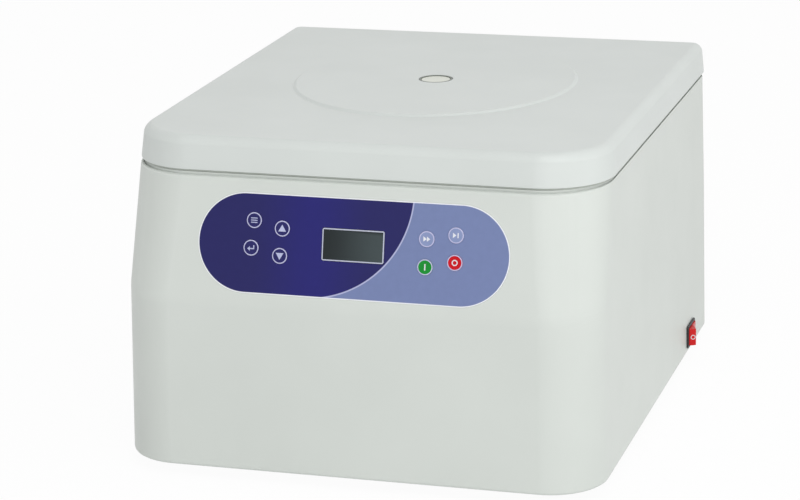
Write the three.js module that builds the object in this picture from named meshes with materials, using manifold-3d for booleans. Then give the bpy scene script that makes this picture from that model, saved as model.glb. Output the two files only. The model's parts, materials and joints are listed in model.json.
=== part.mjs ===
// Benchtop centrifuge: a moulded housing with a sloped control panel, a hinged lid with a locking striker,
// a steel chamber and a four-place swing-out rotor on a rubber-mounted motor.
// Millimetres. +Z is up, the front faces -Y and the feet stand on Z = 0. Places along Y are measured from
// the crease across the front and along X from the middle, and the whole group is centred at the end.
import * as THREE from "three";
import { mergeVertices } from "three/addons/utils/BufferGeometryUtils.js";
import Module from "manifold-3d";

const wasm = await Module();
wasm.setup();

// Clearances and limits that all pieces share
const seat = 0.3;
const running = 0.4;
const overrun = 2;
const bite = 0.6;
const mergeDistance = 0.001;

// Facet counts: the steps of corner arcs and rounds, and the sides of turned pieces
const frontSteps = 6;
const rearSteps = 2;
const roundSteps = 2;
const lidRoundSteps = 4;
const capSteps = 2;
const sidesLarge = 48;
const sidesMiddle = 24;
const bucketSides = 20;
const sidesSmall = 14;
const sidesHidden = 16;
const sidesHinge = 12;
const sidesFine = 8;

// The share of their pitch that the grooves round the motor take
const grooveShare = 0.27;

// Driving sizes of the housing. Heights are above its lower edge, and the toe stands ahead of the crease
const body = {
  width: 380,
  depth: 440,
  toe: 4,
  creaseHeight: 133.5,
  slopeHeight: 89.7,
  slopeBack: 20.4,
  creaseNarrowing: 1.9,
  topNarrowing: 4.1,
  cornerRadius: 46,
  topCornerRadius: 53,
  rearRadius: 9,
  wall: 3.5,
  deckThickness: 4,
  lowerRound: 3,
  creaseRound: 5,
  edgeFront: 2.5,
  edgeSide: 0.8,
  plinthHeight: 2.8,
  plinthInset: 2.4,
  postRadius: 6,
  postInset: 30,
  frontPostInset: 33.5,
};

const foot = {
  height: 9.5,
  radius: 17,
  topRadius: 15,
  inset: 52,
  stud: 4,
  studRise: 4,
  recess: 3,
  recessRadius: 6,
};

const tray = { thickness: 2, lipHeight: 4.2, lipWall: 1.5, standoffRadius: 3.5, standoffRise: 8 };

// The lid stands behind the ledge of the housing, and its top carries a low round disc with a window
const lid = {
  gap: 1.6,
  front: 26,
  narrowing: 2.8,
  cornerRadius: 54,
  height: 25.7,
  wall: 3,
  lowerRound: 0.8,
  topRound: 8.5,
  discRadius: 116,
  discRise: 1.6,
  discRound: 0.8,
  bossRadius: 5,
  bossInset: 24,
};

const liner = { rise: 4, thickness: 2.5, ringGap: 7.5, ringWidth: 4, ringDrop: 1.5 };

const porthole = {
  radius: 12.4,
  lensThickness: 2.5,
  lensSink: 0.4,
  sleeveWall: 1.2,
  rimWidth: 1.4,
  rimThickness: 1.2,
  step: 1.2,
};

const bucket = {
  trunnionRadius: 62,
  collarRadius: 20.5,
  collarHeight: 10,
  mouthRise: 9,
  lipRadius: 19.5,
  radius: 18,
  wall: 2.3,
  pinRadius: 4,
  pinGrip: 7,
  pinSlack: 2,
  bottomRound: 9,
};

const rotor = {
  radius: 84,
  notchSlack: 2,
  notchEnd: 38,
  notchRound: 6,
  thickness: 15,
  aboveTrunnion: 3,
  hubRadius: 22,
  hubDrop: 24,
  hubRise: 9,
  holeRadius: 7,
  shaftRadius: 6,
  threadRadius: 4,
  nutRadius: 11,
  nutHeight: 13,
  nutRound: 4,
  headroom: 15,
  edge: 1.5,
};

// The bowl is as wide as the housing's sides, back wall and lock leave room for
const bowl = {
  sideRoom: 22,
  rearRoom: 26.5,
  swingClearance: 8,
  floorClearance: 11,
  wall: 1.5,
  cornerRadius: 20,
  flangeWidth: 8,
  mouthClearance: 0.8,
  neckRadius: 20,
  neckHeight: 12,
};

const seal = { width: 6, inset: 1 };

const boot = { lip: 2.5, thickness: 2, depth: 9, bore: 8 };

const motor = {
  radius: 55,
  topGap: 9,
  shoulder: 6,
  noseRadius: 16,
  noseHeight: 5,
  endThickness: 4,
  ribCount: 2,
  ribDepth: 2.5,
};

const mount = {
  damperHeight: 22,
  damperRadius: 12,
  damperWaist: 9,
  damperRim: 2,
  circle: 64,
  plate: 4,
  lobe: 18,
  bore: 24,
};

// Sizes on the sloped panel: across it, up it from the crease, and into it from its face
const panel = {
  sideMargin: 68.5,
  edgeMargin: 8.5,
  centreAcross: 0.7,
  recess: 1.4,
  proud: 0.4,
  windowWidth: 49,
  windowHeight: 25,
  windowSink: 0.2,
  boardDepth: 7.5,
  boardThickness: 1.6,
  boardSide: 19.5,
  boardEdge: 6.5,
  moduleBorder: 1.5,
  postRadius: 3.5,
  postInset: 7,
};

const key = {
  radius: 5.8,
  proud: 0.7,
  travel: 0.5,
  stemRadius: 2.2,
  switchRadius: 3,
  switchHeight: 2,
  edge: 0.3,
};

// Places on the panel from its middle, across as shares of its length and up as shares of its height
const placeShares = {
  windowAcross: 0.004,
  windowUp: 0.0307,
};
const keyPlaceShares = {
  key_set: [-0.3177, 0.228],
  key_enter: [-0.3251, -0.0507],
  key_up: [-0.2255, 0.16],
  key_down: [-0.2309, -0.1147],
  key_force: [0.2383, 0.144],
  key_short: [0.33, 0.1973],
  key_start: [0.2362, -0.1347],
  key_stop: [0.3296, -0.0733],
};

const rocker = {
  toBack: 77,
  height: 14.3,
  bezelLength: 30.2,
  bezelHeight: 21,
  bezelProud: 2,
  bezelRound: 2,
  border: 1.2,
  bodyWall: 0.7,
  bodyDepth: 15.5,
  bend: 12,
  endAngle: 28.5,
  pivotSink: 3.4,
  hubRadius: 5,
};

const rear = {
  sideMargin: 40,
  height: 150,
  lift: 10,
  thickness: 2,
  lip: 5,
  round: 6,
  ventCount: 14,
  ventWidth: 3,
  ventHeight: 46,
  ventPitch: 8,
  ventInset: 80,
  ventDrop: 42,
};

const fan = {
  size: 80,
  thickness: 25,
  bore: 37.5,
  inset: 65,
  lift: 60,
  hub: 13,
  strut: 4,
  strutDepth: 4,
  corner: 5,
  blades: 7,
  bladeDepth: 15,
  bladeThickness: 1.6,
  bladePitch: 52,
  bladeBow: 2.4,
  hubEdge: 2,
  tipGap: 1.2,
  slotWidth: 3,
  slotPitch: 6.4,
};

const inlet = {
  inset: 38,
  lift: 40,
  width: 27,
  height: 20,
  depth: 26,
  flange: 4,
  flangeThickness: 2.5,
  cavityWidth: 24,
  cavityHeight: 16.4,
  cavityDepth: 17,
  chamfer: 4,
  bladeWidth: 2,
  bladeHeight: 4,
  bladeLength: 11,
  bladePitch: 7,
  bladeDrop: 3,
};

const fuse = {
  toInlet: 42,
  lift: 40,
  capRadius: 8,
  capHeight: 7,
  capTaper: 0.8,
  bodyRadius: 6,
  bodyDepth: 26,
  slot: 1.5,
  slotDepth: 1.5,
};

const hinge = {
  inset: 70,
  width: 46,
  knuckle: 4.5,
  offset: 1.2,
  leaf: 2,
  bodyLeaf: 32,
  lidLeaf: 14,
  pin: 2.2,
  pinHead: 3.3,
  headHeight: 1,
  slack: 0.7,
};

const lock = {
  frontRoom: 42,
  fromChamber: 14.5,
  strikerThickness: 3,
  strikerDepth: 16,
  strikerDrop: 35,
  footWidth: 24,
  footDepth: 26,
  footThickness: 2,
  windowDepth: 11,
  windowHeight: 12,
  windowFromEnd: 4,
  slotSlack: 3.5,
  bolt: 4,
  boltInset: 4,
  cheek: 2,
  cheekReach: 6,
  plateDepth: 28,
  arm: 56,
  coilLength: 42,
  coilDepth: 22,
  coilHeight: 19,
  switchWidth: 6,
  switchDepth: 20,
  switchHeight: 10,
};

const board = {
  inset: 98,
  width: 116,
  depth: 62,
  front: 20,
  thickness: 1.6,
  capCount: 3,
  capRadius: 8,
  capHeight: 22,
  capPitch: 24,
  relayWidth: 32,
  relayDepth: 16,
  relayHeight: 16,
};

const transformer = {
  inset: 92,
  front: 24,
  width: 62,
  depth: 24,
  height: 50,
  coilWidth: 38,
  coilDepth: 46,
  coilHeight: 34,
  coilRound: 4,
};

// Heights and places that follow from the driving sizes
const turn = Math.PI * 2;
const right = Math.PI / 2;
const degree = Math.PI / 180;
const base = foot.height;
const crease = base + body.creaseHeight;
const ledge = crease + body.slopeHeight;
const deck = ledge + body.plinthHeight;
const deckUnder = deck - body.deckThickness;
const slope = Math.atan2(body.slopeBack, body.slopeHeight);
const slopeLength = Math.hypot(body.slopeBack, body.slopeHeight);
const lidBottom = deck + lid.gap;
const lidTop = lidBottom + lid.height;
const lidHalf = body.width / 2 - lid.narrowing;
const linerBottom = lidBottom + liner.rise;
const linerTop = linerBottom + liner.thickness;
const sideRadius = body.width / 2 - body.wall - bowl.sideRoom;
const lockRoom = lock.frontRoom + lock.plateDepth + lock.fromChamber;
const depthRadius = (body.depth - bowl.rearRoom - lockRoom) / 2;
const flangeRadius = Math.min(sideRadius, depthRadius);
const ringRadius = flangeRadius + liner.ringGap;
const bowlRadius = flangeRadius - bowl.flangeWidth - bowl.wall;
const bucketReach = bowlRadius - bowl.swingClearance - bucket.trunnionRadius;
const axisY = body.depth - bowl.rearRoom - flangeRadius;
const trunnionZ = linerBottom - bucket.collarRadius - rotor.headroom;
const bowlFloor = trunnionZ - bucketReach - bowl.floorClearance;
const flangeTop = deck + seat + bowl.wall;
const trayTop = base + tray.thickness;
const plateBottom = trayTop + seat + mount.damperHeight + seat;
const motorBottom = plateBottom + mount.plate + seat;
const motorTop = bowlFloor - bowl.wall - motor.topGap;
const hingeY = body.depth + seat + hinge.offset + hinge.knuckle;
const hingeZ = deck + lid.gap / 2;
const lockY = axisY - flangeRadius - lock.fromChamber - lock.plateDepth / 2;
const strikerEnd = linerBottom - seat - lock.strikerDrop;
const boltZ = strikerEnd + lock.windowFromEnd + lock.windowHeight / 2;
const cheekInside = lock.strikerThickness / 2 + lock.slotSlack + lock.cheekReach / 2;
const coilEnd = -cheekInside - lock.cheek - seat;
const panelLength = body.width - 2 * panel.sideMargin;
const panelHeight = slopeLength - 2 * panel.edgeMargin;
const panelMiddle = slopeLength / 2;
const windowAcross = panel.centreAcross + panelLength * placeShares.windowAcross;
const windowMiddle = panelMiddle + panelHeight * placeShares.windowUp;
const boardWidth = panelLength - 2 * panel.boardSide;
const boardHeight = panelHeight - 2 * panel.boardEdge;
const rearFace = body.depth - rear.thickness;
const rearWidth = body.width - 2 * rear.sideMargin;
const ventAcross = rearWidth / 2 - rear.ventInset;
const ventLift = rear.lift + rear.height - rear.ventDrop;
const fanAcross = fan.inset - rearWidth / 2;
const inletAcross = rearWidth / 2 - inlet.inset;
const fuseAcross = inletAcross - fuse.toInlet;
const hingeAcross = body.width / 2 - hinge.inset;
const boardAcross = board.inset - body.width / 2;
const transformerAcross = body.width / 2 - transformer.inset;
const pivotOut = seat + rocker.bezelProud - rocker.pivotSink;
const rockerEnd = rocker.endAngle * degree;
const rockerBend = rocker.bend * degree;
const rockerRadius = rocker.bezelLength / 2 - rocker.border - rocker.bodyWall - running;
const rockerVertex = rockerRadius * (Math.sin(rockerEnd) - Math.cos(rockerEnd) * Math.tan(rockerBend));
const sideReach = pivotOut + rockerRadius * Math.sin(rockerEnd + rockerBend);
const backReach = hingeY + hinge.knuckle;

// Keys by name, with their colour
const keyRows = [
  { name: "key_set", finish: "overlay" },
  { name: "key_enter", finish: "overlay" },
  { name: "key_up", finish: "overlay" },
  { name: "key_down", finish: "overlay" },
  { name: "key_force", finish: "paleKey" },
  { name: "key_short", finish: "paleKey" },
  { name: "key_start", finish: "greenKey" },
  { name: "key_stop", finish: "redKey" },
];

// Finishes
const finishes = {
  housing: { color: 0xd5dad5, roughness: 0.42, metalness: 0 },
  lid: { color: 0xd8ddd9, roughness: 0.4, metalness: 0 },
  lens: { color: 0xcbcfc0, roughness: 0.2, metalness: 0 },
  rim: { color: 0x6d736c, roughness: 0.5, metalness: 0 },
  overlay: { color: 0x31306a, roughness: 0.35, metalness: 0 },
  paleKey: { color: 0x8c97c4, roughness: 0.35, metalness: 0 },
  greenKey: { color: 0x199132, roughness: 0.35, metalness: 0 },
  redKey: { color: 0xcd1423, roughness: 0.35, metalness: 0 },
  glass: { color: 0x3c4442, roughness: 0.15, metalness: 0 },
  circuit: { color: 0x1f6b3c, roughness: 0.6, metalness: 0 },
  rubber: { color: 0x262627, roughness: 0.85, metalness: 0 },
  blackPlastic: { color: 0x1c1c1e, roughness: 0.5, metalness: 0 },
  redPlastic: { color: 0xc8161c, roughness: 0.35, metalness: 0 },
  steel: { color: 0xb9bcbe, roughness: 0.32, metalness: 1 },
  sheet: { color: 0x9fa3a4, roughness: 0.45, metalness: 1 },
  aluminium: { color: 0xc4c6c8, roughness: 0.38, metalness: 1 },
  castIron: { color: 0x3b3f42, roughness: 0.6, metalness: 0.6 },
  copper: { color: 0xa5643a, roughness: 0.4, metalness: 0.8 },
};

// Closed solids from three.js geometry, joined and cut with manifold-3d

// Turns a geometry into a solid whose faces point outwards
function solid(geometry) {
  const loose = geometry.index ? geometry.toNonIndexed() : geometry;
  const bare = new THREE.BufferGeometry().setAttribute("position", loose.getAttribute("position").clone());
  const merged = mergeVertices(bare, mergeDistance);
  const places = merged.getAttribute("position").array;
  const corners = [];
  for (let i = 0; i < merged.index.count; i += 3) {
    const [a, b, c] = merged.index.array.slice(i, i + 3);
    if (a !== b && b !== c && c !== a) corners.push([a, b, c]);
  }
  const build = (triangles) =>
    new wasm.Manifold(
      new wasm.Mesh({ numProp: 3, vertProperties: places, triVerts: new Uint32Array(triangles.flat()) }),
    );
  const made = build(corners);
  return made.volume() < 0 ? build(corners.map(([a, b, c]) => [a, c, b])) : made;
}

function join(...solids) {
  return solids.flat().reduce((joined, next) => joined.add(next));
}

function cut(stock, ...tools) {
  return tools.flat().reduce((left, tool) => left.subtract(tool), stock);
}

// A box centred on x and y that stands on z
function box(width, depth, height, x = 0, y = 0, z = 0) {
  return new THREE.BoxGeometry(width, depth, height).translate(x, y, z + height / 2);
}

// A round bar that starts at a point and runs along +X, +Y or +Z
function bar(along, radius, length, x = 0, y = 0, z = 0, sides = sidesSmall, endRadius = radius) {
  const rod = new THREE.CylinderGeometry(endRadius, radius, length, sides).translate(0, length / 2, 0);
  if (along === "x") rod.rotateZ(-right);
  if (along === "z") rod.rotateX(right);
  return rod.translate(x, y, z);
}

// A flat outline pushed up from z
function plate(points, thickness, z = 0, holes = []) {
  const shape = new THREE.Shape(points.map(([x, y]) => new THREE.Vector2(x, y)));
  shape.holes = holes.map((hole) => new THREE.Path(hole.map(([x, y]) => new THREE.Vector2(x, y))));
  return new THREE.ExtrudeGeometry(shape, { depth: thickness, bevelEnabled: false }).translate(0, 0, z);
}

// A profile of radius and height turned about the Z axis
function turned(profile, sides) {
  const points = profile.map(([radius, height]) => new THREE.Vector2(radius, height));
  return new THREE.LatheGeometry(points, sides).rotateX(right);
}

// Points of an arc about a centre, from one angle to another
function arc(x, y, radius, from, to, steps) {
  return Array.from({ length: steps + 1 }, (_, i) => {
    const angle = from + ((to - from) * i) / steps;
    return [x + radius * Math.cos(angle), y + radius * Math.sin(angle)];
  });
}

// A rectangle with one radius for its two front corners and one for its two rear corners
function roundedOutline(half, front, back, frontRadius, rearRadius, nearSteps = frontSteps) {
  const farSteps = rearSteps;
  return [
    ...arc(half - frontRadius, front + frontRadius, frontRadius, -right, 0, nearSteps),
    ...arc(half - rearRadius, back - rearRadius, rearRadius, 0, right, farSteps),
    ...arc(rearRadius - half, back - rearRadius, rearRadius, right, 2 * right, farSteps),
    ...arc(frontRadius - half, front + frontRadius, frontRadius, 2 * right, 3 * right, nearSteps),
  ];
}

function roundedRectangle(width, height, radius, x = 0, y = 0) {
  const outline = roundedOutline(width / 2, -height / 2, height / 2, radius, radius, rearSteps);
  return outline.map(([across, up]) => [across + x, up + y]);
}

// A slot that stands upright, with round ends
function slotOutline(width, height, x, y) {
  const radius = width / 2;
  const reach = height / 2 - radius;
  return [
    ...arc(x, y + reach, radius, 0, 2 * right, capSteps),
    ...arc(x, y - reach, radius, 2 * right, turn, capSteps),
  ];
}

// A skin through level outlines with the same number of points, closed by flat ends
function loft(levels) {
  const count = levels[0].outline.length;
  const places = levels.flatMap(({ z, outline }) => outline.flatMap(([x, y]) => [x, y, z]));
  const faces = [];
  for (let level = 0; level + 1 < levels.length; level += 1) {
    for (let i = 0; i < count; i += 1) {
      const [a, b] = [level * count + i, level * count + ((i + 1) % count)];
      faces.push(a, b, b + count, a, b + count, a + count);
    }
  }
  const top = (levels.length - 1) * count;
  const flat = (level) => levels[level].outline.map(([x, y]) => new THREE.Vector2(x, y));
  THREE.ShapeUtils.triangulateShape(flat(0), []).forEach(([a, b, c]) => faces.push(c, b, a));
  THREE.ShapeUtils.triangulateShape(flat(levels.length - 1), []).forEach(([a, b, c]) =>
    faces.push(top + a, top + b, top + c),
  );
  const geometry = new THREE.BufferGeometry();
  geometry.setAttribute("position", new THREE.Float32BufferAttribute(places, 3));
  geometry.setIndex(faces);
  return geometry;
}

// Adds a named mesh to a group
function place(group, name, made, finish) {
  const mesh = made.getMesh();
  const geometry = new THREE.BufferGeometry();
  geometry.setAttribute("position", new THREE.BufferAttribute(new Float32Array(mesh.vertProperties), 3));
  geometry.setIndex(new THREE.BufferAttribute(new Uint32Array(mesh.triVerts), 1));
  geometry.computeVertexNormals();
  const piece = new THREE.Mesh(geometry, new THREE.MeshStandardMaterial(finishes[finish]));
  piece.name = name;
  group.add(piece);
  return piece;
}

// The housing's front face: it leans in from the toe to the crease, and back from the crease to the ledge
function frontAt(z) {
  const below = (height) => (-body.toe * (crease - height)) / body.creaseHeight;
  const above = (height) => (height - crease) * Math.tan(slope);
  if (z <= crease - body.creaseRound) return below(z);
  if (z >= crease + body.creaseRound) return above(z);
  const along = (z - crease + body.creaseRound) / (2 * body.creaseRound);
  return (1 - along) ** 2 * below(crease - body.creaseRound) + along ** 2 * above(crease + body.creaseRound);
}

// The housing narrows from its lower edge to the crease, and a little more from there to the ledge
function halfAt(z) {
  const from = base + body.lowerRound;
  const low = Math.min(Math.max((z - from) / (crease - from), 0), 1);
  const slopeNarrowing = body.topNarrowing - body.creaseNarrowing;
  return body.width / 2 - body.creaseNarrowing * low - slopeNarrowing * slopeShare(z);
}

// The front corners grow rounder up the slope
function cornerAt(z) {
  return body.cornerRadius + (body.topCornerRadius - body.cornerRadius) * slopeShare(z);
}

function slopeShare(z) {
  return Math.min(Math.max((z - crease) / body.slopeHeight, 0), 1);
}

// The housing's outline at a height, drawn in by an inset at the front and one at the sides and back
function bodyOutline(z, front = 0, side = front) {
  return roundedOutline(
    halfAt(z) - side,
    frontAt(z) + front,
    body.depth - side,
    cornerAt(z) - front,
    body.rearRadius - Math.min(side, body.rearRadius / 2),
  );
}

function lidOutline(inset) {
  return roundedOutline(
    lidHalf - inset,
    lid.front + inset,
    body.depth - inset,
    lid.cornerRadius - inset,
    body.rearRadius - Math.min(inset, body.rearRadius / 2),
  );
}

const creaseLevels = [-1, 0, 1].map((step) => crease + body.creaseRound * step);

// The panel's own frame: X across, Z up the slope, and Y into the housing
const panelPlace = new THREE.Matrix4().makeRotationX(-slope).setPosition(0, 0, crease);

function keyPlace({ name }) {
  const [across, up] = keyPlaceShares[name];
  return [panel.centreAcross + panelLength * across, panelMiddle + panelHeight * up];
}

// A bar into the panel, from one depth to another
function panelBar(radius, from, to, across, up, sides) {
  return bar("y", radius, to - from, across, from, up, sides);
}

// An outline on the panel, pushed in from one depth to another
function panelPlate(outline, from, to) {
  return plate(outline, to - from, -to).rotateX(right);
}

const root = new THREE.Group();
const whole = new THREE.Group();
root.add(whole);
whole.position.set(-sideReach / 2, (body.toe - backReach) / 2, 0);

// Housing shell: outer skin with a soft crease, a rounded ledge and the low plinth that the lid covers
function housingShell() {
  const outer = [];
  for (let i = 0; i <= roundSteps; i += 1) {
    const angle = (right * i) / roundSteps;
    const z = base + body.lowerRound * (1 - Math.cos(angle));
    outer.push({ z, outline: bodyOutline(z, body.lowerRound * (1 - Math.sin(angle))) });
  }
  creaseLevels.forEach((z) => outer.push({ z, outline: bodyOutline(z) }));
  for (let i = 0; i <= roundSteps; i += 1) {
    const angle = (right * i) / roundSteps;
    const z = ledge - body.edgeFront * (1 - Math.sin(angle));
    const share = 1 - Math.cos(angle);
    outer.push({ z, outline: bodyOutline(z, body.edgeFront * share, body.edgeSide * share) });
  }
  outer.push({ z: ledge, outline: lidOutline(body.plinthInset) });
  outer.push({ z: deck, outline: lidOutline(body.plinthInset) });
  const hollow = [base - overrun, ...creaseLevels, deckUnder].map((z) => ({
    z,
    outline: bodyOutline(z, body.wall),
  }));
  const shell = cut(solid(loft(outer)), solid(loft(hollow)));
  const posts = cornerPlaces(body.postInset, body.frontPostInset).map(([x, y]) => {
    const low = trayTop + seat;
    return solid(bar("z", body.postRadius, deckUnder + bite - low, x, y, low, sidesFine));
  });
  const boardPosts = boardCorners().map(([across, up]) => {
    const from = body.wall - bite;
    const to = panel.boardDepth - seat;
    return solid(panelBar(panel.postRadius, from, to, across, up, sidesFine).applyMatrix4(panelPlace));
  });
  return cut(join(shell, posts, boardPosts), housingCuts());
}

// Four places inset from the housing's sides, toe and back, the front ones by an inset of their own
function cornerPlaces(inset, frontInset = inset) {
  const back = body.depth - inset;
  const across = body.width / 2 - inset;
  const frontAcross = body.width / 2 - frontInset;
  return [
    [-frontAcross, frontInset],
    [frontAcross, frontInset],
    [-across, back],
    [across, back],
  ];
}

function boardCorners() {
  const across = boardWidth / 2 - panel.postInset;
  const up = boardHeight / 2 - panel.postInset;
  return [-1, 1].flatMap((side) =>
    [-1, 1].map((rise) => [panel.centreAcross + side * across, panelMiddle + rise * up]),
  );
}

// Every opening in the housing: chamber mouth, striker slot, panel recess and holes, switch, and rear panel
function housingCuts() {
  const mouth = bar(
    "z",
    bowlRadius + bowl.wall + bowl.mouthClearance,
    body.deckThickness + 2 * overrun,
    0,
    axisY,
    deckUnder - overrun,
    sidesLarge,
  );
  const slotWidth = lock.strikerThickness + 2 * lock.slotSlack;
  const slotDepth = lock.strikerDepth + 2 * lock.slotSlack;
  const slot = box(slotWidth, slotDepth, body.deckThickness + 2 * overrun, 0, lockY, deckUnder - overrun);
  const recess = panelPlate(stadium(0), -overrun, panel.recess).applyMatrix4(panelPlace);
  const display = box(
    panel.windowWidth + 2 * (panel.moduleBorder + running),
    body.wall + 2 * overrun,
    panel.windowHeight + 2 * (panel.moduleBorder + running),
    windowAcross,
    body.wall / 2,
    windowMiddle - panel.windowHeight / 2 - panel.moduleBorder - running,
  ).applyMatrix4(panelPlace);
  const stems = keyRows.map((row) => {
    const through = body.wall + overrun;
    const stem = panelBar(key.stemRadius + running, -overrun, through, ...keyPlace(row), sidesFine);
    return stem.applyMatrix4(panelPlace);
  });
  const opening = switchOpening(running);
  const side = box(
    body.wall + 2 * overrun,
    opening.length,
    opening.height,
    halfAt(base + rocker.height) - body.wall / 2,
    body.depth - rocker.toBack,
    base + rocker.height - opening.height / 2,
  );
  const rebate = backPlate(
    rearWidth + 2 * seat,
    rear.height + 2 * seat,
    rearFace - seat,
    body.depth + overrun,
  );
  const hole = backPlate(
    rearWidth - 2 * rear.lip,
    rear.height - 2 * rear.lip,
    body.depth - body.wall - overrun,
    body.depth,
  );
  return [mouth, slot, recess, display, ...stems, side, rebate, hole].map(solid);
}

// The panel's long outline with round ends, drawn in by an inset
function stadium(inset) {
  const radius = panelHeight / 2 - inset;
  const reach = panelLength / 2 - panelHeight / 2;
  return [
    ...arc(panel.centreAcross + reach, panelMiddle, radius, -right, right, 2 * frontSteps),
    ...arc(panel.centreAcross - reach, panelMiddle, radius, right, 3 * right, 2 * frontSteps),
  ];
}

// A rounded plate on the back wall, from one depth to another
function backPlate(width, height, from, to) {
  const middle = base + rear.lift + rear.height / 2;
  return plate(roundedRectangle(width, height, rear.round, 0, middle), to - from, -to).rotateX(right);
}

function switchOpening(clearance) {
  return {
    length: rocker.bezelLength - 2 * rocker.border + 2 * clearance,
    height: rocker.bezelHeight - 2 * rocker.border + 2 * clearance,
  };
}

// Base tray: a shallow pan with foot holes and standoffs
function baseTray() {
  const lipTop = base + tray.lipHeight;
  const reach = (z, inset) => ({
    z,
    outline: roundedOutline(
      halfAt(lipTop) - body.wall - seat - inset,
      frontAt(lipTop) + body.wall + seat + inset,
      body.depth - body.wall - seat - inset,
      body.cornerRadius - body.wall - seat - inset,
      body.rearRadius - Math.min(body.wall, body.rearRadius / 2),
    ),
  });
  const pan = solid(loft([reach(base, 0), reach(lipTop, 0)]));
  const inside = solid(loft([reach(trayTop, tray.lipWall), reach(lipTop + overrun, tray.lipWall)]));
  const standoffs = boardFeet().map(([x, y]) =>
    solid(bar("z", tray.standoffRadius, tray.standoffRise + bite, x, y, trayTop - bite, sidesFine)),
  );
  const holes = cornerPlaces(foot.inset).map(([x, y]) =>
    solid(bar("z", foot.stud + running, tray.thickness + 2 * overrun, x, y, base - overrun, sidesSmall)),
  );
  return cut(join(cut(pan, inside), standoffs), holes);
}

function boardFeet() {
  const inset = 2 * tray.standoffRadius;
  const [near, far] = [board.front + inset, board.front + board.depth - inset];
  const reach = board.width / 2 - inset;
  return [boardAcross - reach, boardAcross + reach].flatMap((x) => [near, far].map((y) => [x, y]));
}

// Rubber foot with a screw recess below and a stud that plugs into the tray
function footPad() {
  const top = base - seat;
  return solid(
    turned(
      [
        [0, foot.recess],
        [foot.recessRadius, foot.recess],
        [foot.recessRadius, 0],
        [foot.radius - foot.recess / 2, 0],
        [foot.radius, foot.recess / 2],
        [foot.topRadius, top],
        [foot.stud, top],
        [foot.stud, base + foot.studRise],
        [0, base + foot.studRise],
      ],
      sidesSmall,
    ),
  );
}

// Rear panel: a flush plate with vent slots, the fan's grille, the inlet's cut-out and the fuse's hole
function rearPanel() {
  const sheet = solid(backPlate(rearWidth, rear.height, rearFace, body.depth));
  const through = rear.thickness + 2 * overrun;
  const tool = (outline) => solid(plate(outline, through, -body.depth - overrun).rotateX(right));
  const vents = Array.from({ length: rear.ventCount }, (_, i) => {
    const x = ventAcross + (i - (rear.ventCount - 1) / 2) * rear.ventPitch;
    return tool(slotOutline(rear.ventWidth, rear.ventHeight, x, base + ventLift));
  });
  const slots = [];
  const count = Math.floor((2 * fan.bore) / fan.slotPitch);
  for (let i = 0; i < count; i += 1) {
    const off = (i - (count - 1) / 2) * fan.slotPitch;
    const length = 2 * Math.sqrt(fan.bore ** 2 - (Math.abs(off) + fan.slotWidth / 2) ** 2);
    slots.push(tool(slotOutline(fan.slotWidth, length, fanAcross + off, base + fan.lift)));
  }
  const socket = box(
    inlet.width + 2 * seat,
    through,
    inlet.height + 2 * seat,
    inletAcross,
    rearFace + rear.thickness / 2,
    base + inlet.lift - inlet.height / 2 - seat,
  );
  const holder = bar(
    "y",
    fuse.bodyRadius + seat,
    through,
    fuseAcross,
    rearFace - overrun,
    base + fuse.lift,
    sidesSmall,
  );
  return cut(sheet, vents, slots, solid(socket), solid(holder));
}

// Pressed steel bowl with a flange on the deck and a raised neck round the shaft
function chamberBowl() {
  const corner = bowl.cornerRadius;
  const outerCorner = corner + bowl.wall;
  const inside = arc(bowlRadius - corner, bowlFloor + corner, corner, 0, -right, capSteps);
  const outside = arc(bowlRadius - corner, bowlFloor + corner, outerCorner, -right, 0, capSteps);
  const neckTop = bowlFloor + bowl.neckHeight;
  const profile = [
    [flangeRadius, flangeTop],
    [bowlRadius, flangeTop],
    ...inside,
    [bowl.neckRadius + bowl.wall, bowlFloor],
    [bowl.neckRadius + bowl.wall, neckTop],
    [bowl.neckRadius, neckTop],
    [bowl.neckRadius, bowlFloor - bowl.wall],
    ...outside,
    [bowlRadius + bowl.wall, deck + seat],
    [flangeRadius, deck + seat],
    [flangeRadius, flangeTop],
  ];
  return solid(turned(profile, sidesLarge).translate(0, axisY, 0));
}

// Rubber ring between the bowl's flange and the lid's liner
function bowlSeal() {
  const low = flangeTop + seat;
  const high = linerBottom - seat;
  const inner = bowlRadius + seal.inset;
  const middle = (low + high) / 2;
  const profile = [
    [inner, low],
    [inner + seal.width, low],
    [inner + seal.width, middle],
    [inner + seal.width / 2, high],
    [inner, middle],
    [inner, low],
  ];
  return solid(turned(profile, sidesLarge).translate(0, axisY, 0));
}

// Rubber boot that caps the bowl's neck round the shaft
function shaftBoot() {
  const neckTop = bowlFloor + bowl.neckHeight + seat;
  const sleeve = bowl.neckRadius - seat;
  const profile = [
    [boot.bore, neckTop + boot.thickness],
    [boot.bore, neckTop],
    [sleeve - boot.thickness, neckTop - boot.thickness],
    [sleeve - boot.thickness, neckTop - boot.depth],
    [sleeve, neckTop - boot.depth],
    [sleeve, neckTop],
    [bowl.neckRadius + bowl.wall + boot.lip, neckTop],
    [bowl.neckRadius + bowl.wall + boot.lip, neckTop + boot.thickness],
    [boot.bore, neckTop + boot.thickness],
  ];
  return solid(turned(profile, sidesHidden).translate(0, axisY, 0));
}

// Rubber damper with a waist, between the tray and the motor plate
function motorDamper() {
  const low = trayTop + seat;
  const high = low + mount.damperHeight;
  const middle = (low + high) / 2;
  return solid(
    turned(
      [
        [0, low],
        [mount.damperRadius, low],
        [mount.damperRadius, low + mount.damperRim],
        [mount.damperWaist, middle],
        [mount.damperRadius, high - mount.damperRim],
        [mount.damperRadius, high],
        [0, high],
      ],
      sidesFine,
    ),
  );
}

const damperAngles = [right, right + turn / 3, right + (2 * turn) / 3];

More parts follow.
